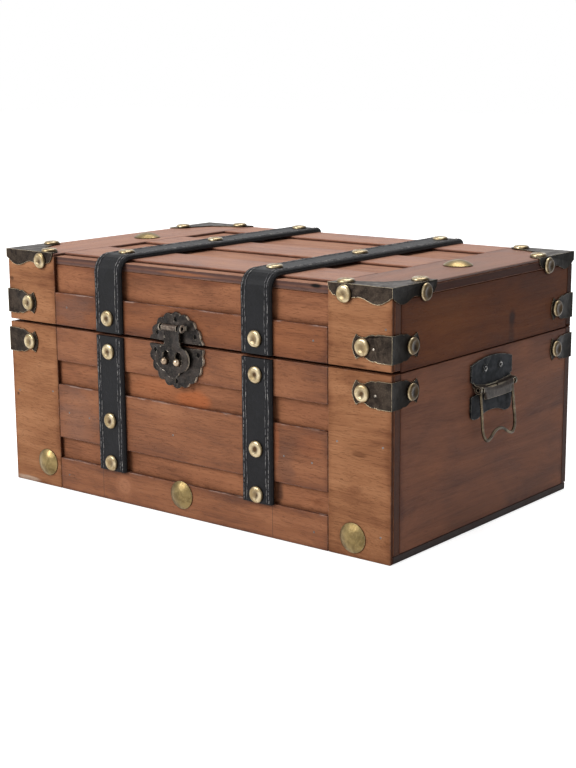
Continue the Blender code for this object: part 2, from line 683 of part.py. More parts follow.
def bail():
    """Wire bail: ends turned inwards through the hood, bottom pressed up in the middle."""
    half, drop, lobe = BAIL_HALF_W, BAIL_DROP, BAIL_LOBE_AT
    low = [(half, -0.15 * drop), (half + 0.5 * BAIL_BULGE, -0.5 * drop), (half + BAIL_BULGE, -0.82 * drop),
           (0.55 * half + 0.45 * lobe, -0.96 * drop), (lobe, -drop), (0.68 * lobe, -drop + 0.3 * BAIL_RISE),
           (0.36 * lobe, -drop + 0.8 * BAIL_RISE)]
    curved = low + [(0, -drop + BAIL_RISE)] + [(-y, z) for y, z in reversed(low)]
    curved = smooth_path([Vector((0, y, z)) for y, z in curved], 2)
    bend = 1.5 * WIRE_R
    elbow = [Vector((0, half - bend * (1 - math.sin(a)), -bend * (1 - math.cos(a))))
             for a in (0, math.pi / 6, math.pi / 3, math.pi / 2)]
    start = [Vector((0, BAIL_GAP / 2, 0))] + elbow
    path = start + curved + [Vector((0, -p.y, p.z)) for p in reversed(start)]
    for point in path:
        point.x = -point.z * BAIL_LEAN / drop
    wire = bpy.data.curves.new("wire", "CURVE")
    wire.dimensions = "3D"
    wire.bevel_depth = WIRE_R
    wire.bevel_resolution = 2
    wire.use_fill_caps = True
    line = wire.splines.new("POLY")
    line.points.add(len(path) - 1)
    for point, place in zip(line.points, path):
        point.co = (*place, 1.0)
    return wire


# Hinges, in a frame at their pin with the leaf against the chest's back.

def hinge_leaf(upper):
    """Leaf with one middle knuckle on the lid, or two outer ones on the chest."""
    side = 1 if upper else -1
    third = HINGE_LEN / 3
    flat = KNUCKLE_R + FIT
    low, high = sorted((side * flat, side * (flat + HINGE_LEAF_H)))
    leaf = cuboid((-HINGE_LEN / 2, -KNUCKLE_R, low), (HINGE_LEN / 2, -KNUCKLE_R + HINGE_LEAF_T, high))
    joined = []
    for middle in ((0,) if upper else (-third, third)):
        length = third - FIT
        tab = cuboid((middle - 0.48 * length, -KNUCKLE_R + 0.1 * HINGE_LEAF_T, min(0, side * 2 * flat)),
                     (middle + 0.48 * length, -KNUCKLE_R + 0.9 * HINGE_LEAF_T, max(0, side * 2 * flat)))
        joined += [(tab, Matrix()), (rod(KNUCKLE_R, length), Matrix.Translation((middle, 0, 0)))]
    return combine(leaf, joined, [(rod(HINGE_PIN_R + FIT, 2 * HINGE_LEN), Matrix())])


def build_chest(wood, inner, leather, brass, iron, bronze):
    inside_front = PANEL_FRONT + WALL_T
    board("bottom_board", (-HALF_W, PANEL_FRONT, 0), (HALF_W, BACK - BASE_SETBACK, BASE_T), inner)
    board("front_panel", (-HALF_W, PANEL_FRONT, BASE_T + FIT), (HALF_W, inside_front, BODY_HEIGHT), wood)
    board("back_panel", (-HALF_W, BACK - WALL_T, BASE_T + FIT), (HALF_W, BACK, BODY_HEIGHT), wood)
    for side, low in (("left", -HALF_W), ("right", HALF_W - WALL_T)):
        board("end_panel_" + side, (low, inside_front + FIT, BASE_T + FIT),
              (low + WALL_T, BACK - WALL_T - FIT, BODY_HEIGHT - BODY_END_DROP), wood)
    for side, low, high in STILES:
        board("front_stile_" + side, (low, FRONT, 0), (high, FRONT + BOARD_T, BODY_HEIGHT), wood)
    middle_z = LOWER_BOARD_H + LOWER_BAND_H
    upper_z = middle_z + MIDDLE_BOARD_H + UPPER_BAND_H
    rows = (("lower", 0, LOWER_BOARD_H), ("middle", middle_z, middle_z + MIDDLE_BOARD_H),
            ("upper", upper_z, BODY_HEIGHT))
    for row, low, high in rows:
        board("front_board_" + row, (BOARDS_LEFT, FRONT, low), (BOARDS_RIGHT, FRONT + BOARD_T, high), wood)

    strap = body_strap()
    for side, x in (("left", -STRAP_X), ("right", STRAP_X)):
        add("body_strap_" + side, strap, leather, (x, 0, 0))
    bracket = seam_bracket()
    for corner, x, y, turn in CORNERS:
        add("body_bracket_" + corner, bracket, iron,
            (x * (HALF_W + FIT), y * (BACK + FIT), BODY_HEIGHT - SEAM_BELOW), turn)
    nail = dome()
    nail.transform(Matrix.Rotation(math.pi / 2, 4, "X"))
    for place, x, z in FRONT_DOMES:
        add("dome_front_" + place, nail, brass, (x, FRONT - FIT, z))

    add("latch_plate_lower", latch_plate_lower(), bronze)
    plate, wire = handle_plate(), bail()
    for side, x, turn in (("left", -BAR_X, math.pi), ("right", BAR_X, 0)):
        add("handle_plate_" + side, plate, iron, (x, HANDLE_Y, BAR_Z), turn)
        axis = empty("handle_axis_" + side, (x, HANDLE_Y, BAR_Z))
        add("bail_" + side, wire, bronze, (x, HANDLE_Y, BAR_Z), turn, axis)
    leaf, pin = hinge_leaf(False), rod(HINGE_PIN_R, HINGE_LEN)
    for side, x in (("left", -HINGE_X), ("right", HINGE_X)):
        add("hinge_leaf_lower_" + side, leaf, bronze, (x, HINGE_Y, SEAM_Z))
        add("hinge_pin_" + side, pin, bronze, (x, HINGE_Y, SEAM_Z))


def build_lid(lid, wood, inner, leather, brass, iron, bronze):
    under = TOP_PANEL_UNDER - FIT
    inside_front = PANEL_FRONT + WALL_T
    board("lid_top_panel", (-HALF_W, PANEL_FRONT, TOP_PANEL_UNDER), (HALF_W, BACK, TOP_PANEL_Z), wood, lid)
    board("lid_front_rail", (-HALF_W, PANEL_FRONT, LID_Z), (HALF_W, inside_front, under), wood, lid)
    board("lid_back_rail", (-HALF_W, BACK - WALL_T, LID_Z), (HALF_W, BACK, under), wood, lid)
    for side, low in (("left", -HALF_W), ("right", HALF_W - WALL_T)):
        board("lid_end_" + side, (low, inside_front + FIT, LID_Z - LID_END_DROP),
              (low + WALL_T, BACK - WALL_T - FIT, under), wood, lid)
    under_boards = TOP - TOP_BOARD_T
    for side, low, high in STILES:
        board("lid_front_stile_" + side, (low, FRONT, LID_Z),
              (high, FRONT + BOARD_T, under_boards - FIT), wood, lid)
        board("lid_top_stile_" + side, (low, FRONT, under_boards), (high, BACK, TOP), wood, lid)
    board("lid_front_board", (BOARDS_LEFT, FRONT, LID_Z),
          (BOARDS_RIGHT, FRONT + BOARD_T, LID_Z + LID_BOARD_H), wood, lid)
    first = FRONT + TOP_FRONT_BAND
    second = first + TOP_FRONT_BOARD + TOP_FIRST_BAND
    third = second + TOP_MIDDLE_BOARD + TOP_SECOND_BAND
    rows = (("front", first, first + TOP_FRONT_BOARD), ("middle", second, second + TOP_MIDDLE_BOARD),
            ("back", third, BACK))
    for row, low, high in rows:
        board("lid_top_board_" + row, (BOARDS_LEFT, low, under_boards), (BOARDS_RIGHT, high, TOP),
              wood, lid)

    strap = lid_strap()
    for side, x in (("left", -STRAP_X), ("right", STRAP_X)):
        add("lid_strap_" + side, strap, leather, (x, 0, 0), parent=lid)
    seam, corner_piece = seam_bracket(), corner_bracket()
    for corner, x, y, turn in CORNERS:
        side_x, side_y = x * (HALF_W + FIT), y * (BACK + FIT)
        add("lid_bracket_" + corner, seam, iron, (side_x, side_y, LID_Z + SEAM_ABOVE), turn, lid)
        add("lid_corner_" + corner, corner_piece, iron, (side_x, side_y, TOP + FIT), turn, lid)
    nail = dome()
    for side, x, y in TOP_DOMES:
        add("dome_top_" + side, nail, brass, (x, y, TOP + FIT), parent=lid)

    add("latch_plate_upper", latch_plate_upper(), bronze, parent=lid)
    length = HASP_NECK_W + 2 * (EYE_GAP + EYE_T) - 2 * FIT
    add("latch_pin", rod(PIN_R, length), bronze, (LATCH_X, PIN_Y, PIN_Z), parent=lid)
    swing = empty("hasp_axis", (LATCH_X, PIN_Y, PIN_Z), lid)
    add("hasp", hasp(), bronze, (LATCH_X, PIN_Y, PIN_Z), parent=swing)
    leaf = hinge_leaf(True)
    for side, x in (("left", -HINGE_X), ("right", HINGE_X)):
        add("hinge_leaf_upper_" + side, leaf, bronze, (x, HINGE_Y, SEAM_Z), parent=lid)


def main():
    for obj in list(bpy.data.objects):
        bpy.data.objects.remove(obj, do_unlink=True)
    wood = material("stained_wood", (0.33, 0.13, 0.065), 0.6)
    inner = material("dark_wood", (0.10, 0.045, 0.03), 0.7)
    leather = material("black_leather", (0.017, 0.017, 0.02), 0.5)
    brass = material("brass", (0.55, 0.45, 0.22), 0.35, 1.0)
    iron = material("dark_sheet", (0.045, 0.04, 0.033), 0.45, 0.8)
    bronze = material("aged_bronze", (0.09, 0.075, 0.055), 0.4, 0.9)
    build_chest(wood, inner, leather, brass, iron, bronze)
    lid = empty("lid_axis", (0, HINGE_Y, SEAM_Z))
    build_lid(lid, wood, inner, leather, brass, iron, bronze)


main()
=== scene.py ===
import json
import math
import random

import bmesh
import bpy
from mathutils import Matrix, Vector

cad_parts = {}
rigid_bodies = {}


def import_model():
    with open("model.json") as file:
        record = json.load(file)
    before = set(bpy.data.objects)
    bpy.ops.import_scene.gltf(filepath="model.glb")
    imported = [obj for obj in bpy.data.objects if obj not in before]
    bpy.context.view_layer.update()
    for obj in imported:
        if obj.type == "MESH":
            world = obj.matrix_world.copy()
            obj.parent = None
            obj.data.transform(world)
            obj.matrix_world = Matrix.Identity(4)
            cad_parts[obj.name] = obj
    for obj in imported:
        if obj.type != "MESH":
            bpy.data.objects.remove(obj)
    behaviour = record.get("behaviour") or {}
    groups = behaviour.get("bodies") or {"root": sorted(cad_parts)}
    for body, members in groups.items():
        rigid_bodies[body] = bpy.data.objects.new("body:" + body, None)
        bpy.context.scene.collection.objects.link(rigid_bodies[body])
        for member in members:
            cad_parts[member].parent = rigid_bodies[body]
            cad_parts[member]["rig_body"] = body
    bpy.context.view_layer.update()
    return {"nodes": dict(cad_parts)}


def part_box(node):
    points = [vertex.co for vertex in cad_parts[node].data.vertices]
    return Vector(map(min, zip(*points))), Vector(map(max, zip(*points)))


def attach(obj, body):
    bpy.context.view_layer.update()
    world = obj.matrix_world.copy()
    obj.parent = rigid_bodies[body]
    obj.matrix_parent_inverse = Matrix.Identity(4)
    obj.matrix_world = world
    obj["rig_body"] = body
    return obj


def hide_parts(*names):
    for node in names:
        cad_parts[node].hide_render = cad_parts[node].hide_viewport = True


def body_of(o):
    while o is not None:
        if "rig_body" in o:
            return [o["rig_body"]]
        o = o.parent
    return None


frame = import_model()
nodes = frame["nodes"]
mm = 0.001


def screen(red, green, blue):
    # a colour as the screen shows it, 0 to 255, made linear for the shaders
    return tuple(((v / 255 + 0.055) / 1.055) ** 2.4 for v in (red, green, blue)) + (1.0,)


def screened(look):
    # a look with every colour in it made linear
    return {key: screen(*value) if isinstance(value, tuple) else value
            for key, value in look.items()}


def addObject(name, data):
    made = bpy.data.objects.new(name, data)
    bpy.context.scene.collection.objects.link(made)
    return made


def dress(node, material):
    nodes[node].material_slots[0].material = material


# Camera, floor and light.

view = dict(azimuth=38.735, elevation=11.895, roll=-0.389, distance=0.98109, lens=71.923,
            aim=(0.00227, -0.00088, 0.0660))

studio = dict(
    world=(0.95, 0.97, 1.0), worldStrength=0.14, floorColour=(0.8, 0.8, 0.8),
    floorGlow=(0.78, 1.0), glowReach=(0.35, 1.6),
    lamps=dict(
        key=dict(at=(-0.75, -1.8, 1.25), size=1.4, power=36),
        fill=dict(at=(1.7, -0.5, 0.8), size=1.5, power=4.5),
        top=dict(at=(-0.1, 0.5, 1.9), size=1.4, power=22)))


def placeCamera():
    data = bpy.data.cameras.new("camera")
    data.lens = view["lens"]
    data.sensor_width = 36.0
    data.clip_start = 0.05
    camera = addObject("camera", data)
    turn = (Matrix.Rotation(math.radians(view["azimuth"]), 4, "Z")
            @ Matrix.Rotation(math.radians(90 - view["elevation"]), 4, "X")
            @ Matrix.Rotation(math.radians(view["roll"]), 4, "Z"))
    back = turn.to_3x3() @ Vector((0, 0, view["distance"]))
    camera.matrix_world = Matrix.Translation(Vector(view["aim"]) + back) @ turn
    bpy.context.scene.camera = camera


def placeLamps():
    for name, lamp in studio["lamps"].items():
        data = bpy.data.lights.new(name, "AREA")
        data.shape = "DISK"
        data.size = lamp["size"]
        data.energy = lamp["power"]
        light = addObject(name, data)
        light.location = lamp["at"]
        towards = Vector((0, 0, 0.07)) - Vector(lamp["at"])
        light.rotation_euler = towards.to_track_quat("-Z", "Y").to_euler()


# Short ways to add and wire nodes.

def join(tree, value, socket):
    if isinstance(value, bpy.types.NodeSocket):
        tree.links.new(value, socket)
    elif value is not None:
        socket.default_value = value


def addNode(tree, kind, inputs=None, **settings):
    node = tree.nodes.new("ShaderNode" + kind)
    for key, value in settings.items():
        setattr(node, key, value)
    for key, value in (inputs or {}).items():
        join(tree, value, node.inputs[key])
    return node


def calc(tree, operation, first, second=None, clamp=False):
    return addNode(tree, "Math", {0: first, 1: second}, operation=operation,
                   use_clamp=clamp).outputs[0]


def times(tree, first, second, clamp=False):
    return calc(tree, "MULTIPLY", first, second, clamp)


def plus(tree, first, second):
    return calc(tree, "ADD", first, second)


def minus(tree, first, second):
    return calc(tree, "SUBTRACT", first, second)


def swing(tree, value, reach):
    # noise about a half made a swing about zero
    return times(tree, minus(tree, value, 0.5), reach)


def axisPart(tree, vector, axis):
    return addNode(tree, "SeparateXYZ", {0: vector}).outputs[axis]


def vectorCalc(tree, operation, first, second=None, output=0):
    return addNode(tree, "VectorMath", {0: first, 1: second}, operation=operation).outputs[output]


def span(tree, value, low, high, start=0.0, end=1.0):
    inputs = {"Value": value, "From Min": low, "From Max": high, "To Min": start, "To Max": end}
    return addNode(tree, "MapRange", inputs, interpolation_type="SMOOTHSTEP").outputs[0]


def noise(tree, vector, scale=1.0, detail=2.0, roughness=0.5, distortion=0.0):
    inputs = {"Vector": vector, "Scale": scale, "Detail": detail, "Roughness": roughness,
              "Distortion": distortion}
    return addNode(tree, "TexNoise", inputs).outputs[0]


def mixColour(tree, factor, first, second, mode="MIX"):
    node = addNode(tree, "Mix", data_type="RGBA", blend_type=mode)
    for value, index in ((factor, 0), (first, 6), (second, 7)):
        join(tree, value, node.inputs[index])
    return node.outputs[2]


def tint(tree, factor, colour, shade):
    return mixColour(tree, factor, colour, (*shade, 1), "MULTIPLY")


def ramp(tree, value, stops):
    node = addNode(tree, "ValToRGB", {"Fac": value})
    band = node.color_ramp
    while len(band.elements) < len(stops):
        band.elements.new(0.5)
    for element, (at, colour) in zip(band.elements, stops):
        element.position = at
        element.color = colour
    return node.outputs["Color"]


def makeGroup(name, inputs, outputs):
    tree = bpy.data.node_groups.new(name, "ShaderNodeTree")
    for label, kind, value in inputs:
        socket = tree.interface.new_socket(label, in_out="INPUT", socket_type="NodeSocket" + kind)
        if value is not None:
            socket.default_value = value
    for label in outputs:
        tree.interface.new_socket(label, in_out="OUTPUT", socket_type="NodeSocketFloat")
    return tree, tree.nodes.new("NodeGroupInput").outputs, tree.nodes.new("NodeGroupOutput").inputs


def place(tree, group, **inputs):
    node = tree.nodes.new("ShaderNodeGroup")
    node.node_tree = group
    for key, value in inputs.items():
        join(tree, value, node.inputs[key])
    return node.outputs


def newMaterial(name, roughness=0.5, metallic=0.0, specular=0.5):
    material = bpy.data.materials.new(name)
    material.use_nodes = True
    tree = material.node_tree
    shader = tree.nodes["Principled BSDF"]
    shader.inputs["Roughness"].default_value = roughness
    shader.inputs["Metallic"].default_value = metallic
    shader.inputs["Specular IOR Level"].default_value = specular
    return material, tree, shader


def bump(tree, height, distance, strength=1.0):
    inputs = {"Height": height, "Distance": distance, "Strength": strength}
    return addNode(tree, "Bump", inputs).outputs["Normal"]


def cover(tree, shader, colour, roughness, height, relief):
    join(tree, colour, shader.inputs["Base Color"])
    join(tree, roughness, shader.inputs["Roughness"])
    join(tree, bump(tree, height, relief), shader.inputs["Normal"])


# Groups shared by the materials.

def buildEdgeWearHighlight():
    # worn edges with a painted highlight: where the rounded normal leaves the true one, broken up
    # by noise
    tree, given, made = makeGroup("edgeWearHighlight", [
        ("Vector", "Vector", None), ("Radius", "Float", 0.0004), ("Breaks", "Float", 300.0),
        ("Amount", "Float", 0.5)], ["Mask"])
    rounded = addNode(tree, "Bevel", {"Radius": given["Radius"]}, samples=6).outputs["Normal"]
    real = addNode(tree, "NewGeometry").outputs["Normal"]
    turned = minus(tree, 1.0, vectorCalc(tree, "DOT_PRODUCT", rounded, real, 1))
    edge = span(tree, turned, 0.01, 0.14)
    patches = noise(tree, given["Vector"], given["Breaks"], 3.0, 0.6)
    limit = minus(tree, 0.85, times(tree, given["Amount"], 0.7))
    broken = span(tree, patches, minus(tree, limit, 0.08), plus(tree, limit, 0.08))
    join(tree, times(tree, edge, broken), made["Mask"])
    return tree


def buildGrimeAndShade():
    # dark stain and painted shade that gather in corners, crevices and round whatever is fixed on
    tree, given, made = makeGroup("grimeAndShade", [
        ("Vector", "Vector", None), ("Distance", "Float", 0.004)], ["Mask"])
    openness = addNode(tree, "AmbientOcclusion", {"Distance": given["Distance"]},
                       samples=6).outputs["AO"]
    patches = noise(tree, given["Vector"], 160.0, 3.0, 0.6)
    level = plus(tree, openness, swing(tree, patches, 0.5))
    join(tree, span(tree, level, 0.92, 0.45), made["Mask"])
    return tree


def buildBoardRim():
    # distance from a board's outline, left out along the way its face looks
    tree, given, made = makeGroup("boardRim", [
        ("Vector", "Vector", None), ("Normal", "Vector", None), ("Low", "Vector", None),
        ("High", "Vector", None)], ["Distance"])
    near = vectorCalc(tree, "MINIMUM",
                      vectorCalc(tree, "SUBTRACT", given["Vector"], given["Low"]),
                      vectorCalc(tree, "SUBTRACT", given["High"], given["Vector"]))
    near = vectorCalc(tree, "ADD", near, vectorCalc(tree, "ABSOLUTE", given["Normal"]))
    parts = addNode(tree, "SeparateXYZ", {0: near}).outputs
    least = calc(tree, "MINIMUM", calc(tree, "MINIMUM", parts[0], parts[1]), parts[2])
    join(tree, least, made["Distance"])
    return tree


def buildGrain():
    # timber with its grain along X: broad figure, fine fibre, pores and cloudy stain
    tree, given, made = makeGroup("grain", [("Vector", "Vector", None)],
                                  ["Figure", "Fibre", "Pore", "Cloud"])
    vector = given["Vector"]
    slow = vectorCalc(tree, "MULTIPLY", vector, (7, 16, 16))
    sway = minus(tree, noise(tree, slow, 1.0, 1.5), 0.5)
    aside = addNode(tree, "VectorMath", {0: (0, 0.02, 0.02), "Scale": sway}, operation="SCALE")
    bent = vectorCalc(tree, "ADD", vector, aside.outputs[0])
    figure = noise(tree, vectorCalc(tree, "MULTIPLY", bent, (6, 150, 150)), 1.0, 3.0, 0.55, 0.3)
    fibre = noise(tree, vectorCalc(tree, "MULTIPLY", bent, (26, 1200, 1200)), 1.0, 2.0, 0.6)
    pore = noise(tree, vectorCalc(tree, "MULTIPLY", bent, (150, 3000, 3000)), 1.0, 1.0)
    cloud = noise(tree, vectorCalc(tree, "MULTIPLY", vector, (20, 42, 42)), 1.0, 3.0, 0.55, 0.6)
    for value, label in ((figure, "Figure"), (fibre, "Fibre"), (cloud, "Cloud"),
                         (span(tree, pore, 0.6, 0.72), "Pore")):
        join(tree, value, made[label])
    return tree


def buildPatina():
    # aged metal: cloudy tarnish, fine speckle and a hammered unevenness
    tree, given, made = makeGroup("patina", [("Vector", "Vector", None), ("Scale", "Float", 1.0)],
                                  ["Cloud", "Speckle", "Height"])
    vector = addNode(tree, "VectorMath", {0: given["Vector"], "Scale": given["Scale"]},
                     operation="SCALE").outputs[0]
    cloud = noise(tree, vector, 170.0, 4.0, 0.6, 0.5)
    speckle = noise(tree, vector, 1500.0, 3.0, 0.65)
    swell = noise(tree, vector, 420.0, 2.0, 0.5)
    height = plus(tree, swell, times(tree, speckle, 0.35))
    for value, label in ((span(tree, cloud, 0.35, 0.65), "Cloud"),
                         (span(tree, speckle, 0.5, 0.68), "Speckle"), (height, "Height")):
        join(tree, value, made[label])
    return tree


edgeWearHighlight = buildEdgeWearHighlight()
grimeAndShade = buildGrimeAndShade()
boardRim = buildBoardRim()
grain = buildGrain()
patina = buildPatina()
print("stage 1: shared node groups")


# Timber.

timber = dict(
    front=dict(pale=(179, 127, 91), mid=(158, 108, 75), deep=(119, 75, 52), wearHighlight=(190, 164, 150),
               stain=0.5, wearHighlightAmount=0.45, roughness=0.52, specular=0.05),
    board=dict(pale=(160, 105, 71), mid=(138, 86, 55), deep=(96, 56, 35), wearHighlight=(176, 150, 138),
               stain=0.55, wearHighlightAmount=0.5, roughness=0.52, specular=0.28),
    lidBoard=dict(pale=(150, 93, 58), mid=(128, 76, 45), deep=(90, 50, 29), wearHighlight=(172, 144, 132),
                  stain=0.6, wearHighlightAmount=0.5, roughness=0.52, specular=0.26),
    band=dict(pale=(170, 113, 79), mid=(147, 95, 66), deep=(103, 64, 44), wearHighlight=(170, 134, 112),
              stain=0.8, wearHighlightAmount=0.2, roughness=0.52, specular=0.14),
    top=dict(pale=(166, 116, 88), mid=(150, 101, 77), deep=(118, 75, 57), wearHighlight=(190, 160, 146),
             stain=0.45, wearHighlightAmount=0.4, roughness=0.46, specular=0.42),
    topStile=dict(pale=(137, 91, 68), mid=(121, 78, 57), deep=(100, 62, 45), wearHighlight=(180, 150, 134),
                  stain=0.5, wearHighlightAmount=0.4, roughness=0.46, specular=0.38),
    # side and lidSide are darker copies of the front timber, holding painted shade for the end,
    # back and lid side boards
    side=dict(pale=(138, 91, 68), mid=(119, 77, 58), deep=(84, 51, 39), wearHighlight=(128, 92, 76),
              stain=0.75, wearHighlightAmount=0.25, roughness=0.55, specular=0.14),
    lidSide=dict(pale=(108, 65, 42), mid=(91, 53, 34), deep=(67, 37, 25), wearHighlight=(112, 78, 62),
                 stain=0.75, wearHighlightAmount=0.25, roughness=0.55, specular=0.08),
    ply=dict(pale=(178, 132, 106), mid=(161, 116, 93), deep=(120, 79, 62), wearHighlight=(178, 148, 132),
             stain=0.35, wearHighlightAmount=0.5, roughness=0.55, specular=0.1),
    base=dict(pale=(82, 54, 43), mid=(66, 42, 35), deep=(46, 30, 25), wearHighlight=(112, 84, 70),
              stain=0.5, wearHighlightAmount=0.2, roughness=0.6, specular=0.2))

lipReach = dict(top=0.0008, foot=0.0009)
grainTurns = dict(x=(0, 0, 0), y=(0, 0, -math.pi / 2), z=(0, math.pi / 2, 0))


def spotMask(tree, vector, wobble, at, size):
    # soft patch with a ragged border
    away = vectorCalc(tree, "SUBTRACT", vector, tuple(v * mm for v in at))
    away = vectorCalc(tree, "DIVIDE", away, tuple(v * mm for v in size))
    return span(tree, plus(tree, vectorCalc(tree, "LENGTH", away, output=1), wobble), 1.1, 0.35)


def ringKnot(tree, vector, cloud, tone, at, radius):
    # rings round a point that fade into the board's own figure
    away = vectorCalc(tree, "SUBTRACT", vector, tuple(v * mm for v in at))
    reach = plus(tree, vectorCalc(tree, "LENGTH", away, output=1), swing(tree, cloud, 0.006))
    rings = calc(tree, "SINE", times(tree, reach, 1900.0))
    ringTone = plus(tree, 0.55, times(tree, rings, 0.045))
    near = span(tree, reach, radius * mm, 0.3 * radius * mm, 0.0, 0.8)
    return addNode(tree, "Mix", {0: near, 2: tone, 3: ringTone}, data_type="FLOAT").outputs[0]


def showPlies(tree, colour, vector, normal, figure, plies, low, high):
    # sawn edge of the sheet, its veneers one above another
    height = plus(tree, axisPart(tree, vector, 2), swing(tree, figure, 0.0016))
    level = addNode(tree, "MapRange", {"Value": height, "From Min": low.z,
                                       "From Max": high.z}).outputs[0]
    upright = calc(tree, "ABSOLUTE", axisPart(tree, normal, 2))
    return mixColour(tree, span(tree, upright, 0.6, 0.4), colour, ramp(tree, level, plies))


def paintLipWearAndShade(tree, colour, vector, normal, laid, wearHighlight, strength, low, high):
    # rubbed top edge with a painted highlight, painted shade on the up-facing ledge, and a foot
    # darkened by dirt and painted shadow, the edge and foot broken along their length
    height = axisPart(tree, vector, 2)
    breaks = noise(tree, vectorCalc(tree, "MULTIPLY", laid, (60, 240, 240)), 1.0, 3.0, 0.65)
    # painted shade: faces that look up are darkened
    ledgeShade = span(tree, axisPart(tree, normal, 2), 0.6, 0.9)
    colour = tint(tree, ledgeShade, colour, (0.6, 0.55, 0.56))
    # dirt and painted shadow: a dark band along the board's foot
    foot = span(tree, minus(tree, height, low.z), lipReach["foot"], 0.0002)
    foot = times(tree, foot, span(tree, breaks, 0.62, 0.46))
    colour = tint(tree, times(tree, foot, 0.8), colour, (0.3, 0.22, 0.2))
    # wear and painted highlight: a pale band along the board's top edge
    top = span(tree, minus(tree, high.z, height), lipReach["top"], 0.0002)
    top = times(tree, top, span(tree, breaks, 0.47, 0.6))
    return mixColour(tree, times(tree, top, strength), colour, wearHighlight)


def woodMaterial(name, look, board, low, high, seed):
    material, tree, shader = newMaterial(name, specular=look["specular"])
    along = board.get("along", "x")
    coords = addNode(tree, "TexCoord").outputs
    vector, normal = coords["Object"], coords["Normal"]
    rng = random.Random(seed)
    shift = [rng.uniform(-1, 1) for _ in range(3)]
    laid = addNode(tree, "Mapping", {"Vector": vector, "Location": shift,
                                     "Rotation": grainTurns[along]}).outputs[0]
    wood = place(tree, grain, Vector=laid)
    figure, fibre, cloud = wood["Figure"], wood["Fibre"], wood["Cloud"]
    tone = plus(tree, times(tree, figure, 0.34), times(tree, fibre, 0.22))
    tone = plus(tree, tone, times(tree, cloud, 0.44))
    for at, radius in board.get("knots", ()):
        tone = ringKnot(tree, vector, cloud, tone, at, radius)
    colour = ramp(tree, tone, [(0.33, look["deep"]), (0.49, look["mid"]), (0.64, look["pale"])])
    colour = mixColour(tree, times(tree, wood["Pore"], 0.25), colour, look["deep"])
    if "plies" in board:
        colour = showPlies(tree, colour, vector, normal, figure, board["plies"], low, high)
    across = calc(tree, "ABSOLUTE", axisPart(tree, normal, "xyz".index(along)))
    endGrain = span(tree, across, 0.6, 0.9, 0.0, 0.75)
    colour = mixColour(tree, endGrain, colour, look["deep"])
    colour = tint(tree, endGrain, colour, (0.2, 0.14, 0.125))
    # painted shade: faces that look towards the ends are darkened by the board's ends colour
    if "ends" in board:
        aside = span(tree, calc(tree, "ABSOLUTE", axisPart(tree, normal, 0)), 0.6, 0.9)
        colour = tint(tree, aside, colour, board["ends"])
    wobble = swing(tree, cloud, 2.4)
    for spot in board.get("spots", ()):
        ragged = times(tree, wobble, spot["ragged"])
        mask = spotMask(tree, vector, ragged, spot["at"], spot["size"])
        colour = mixColour(tree, times(tree, mask, spot["strength"]), colour, spot["colour"])
    rim = place(tree, boardRim, Vector=vector, Normal=normal, Low=low, High=high)["Distance"]
    rim = plus(tree, rim, swing(tree, cloud, 0.009))
    stained = times(tree, span(tree, rim, 0.0045, -0.001), look["stain"])
    colour = tint(tree, stained, colour, (0.5, 0.4, 0.38))
    # painted shade and dirt: darker where nearby surfaces close in
    dirtAndShade = place(tree, grimeAndShade, Vector=vector)["Mask"]
    colour = tint(tree, times(tree, dirtAndShade, 0.62), colour, (0.22, 0.15, 0.13))
    if "lip" in board:
        colour = paintLipWearAndShade(tree, colour, vector, normal, laid, look["wearHighlight"], board["lip"], low, high)
    stretched = vectorCalc(tree, "MULTIPLY", laid, (0.45, 1, 1))
    wearHighlight = place(tree, edgeWearHighlight, Vector=stretched, Amount=look["wearHighlightAmount"])["Mask"]
    colour = mixColour(tree, times(tree, wearHighlight, 0.75), colour, look["wearHighlight"])
    rough = plus(tree, look["roughness"] - 0.06, times(tree, cloud, 0.2))
    rough = plus(tree, rough, times(tree, dirtAndShade, 0.15))
    height = minus(tree, times(tree, fibre, 0.6), wood["Pore"])
    height = plus(tree, height, times(tree, figure, 0.9))
    cover(tree, shader, colour, rough, height, 0.00013)
    return material


def patch(at, size, colour, strength, ragged=1.0):
    # a soft coloured patch on a board, its place and reach in millimetres
    return dict(at=at, size=size, colour=colour, strength=strength, ragged=ragged)


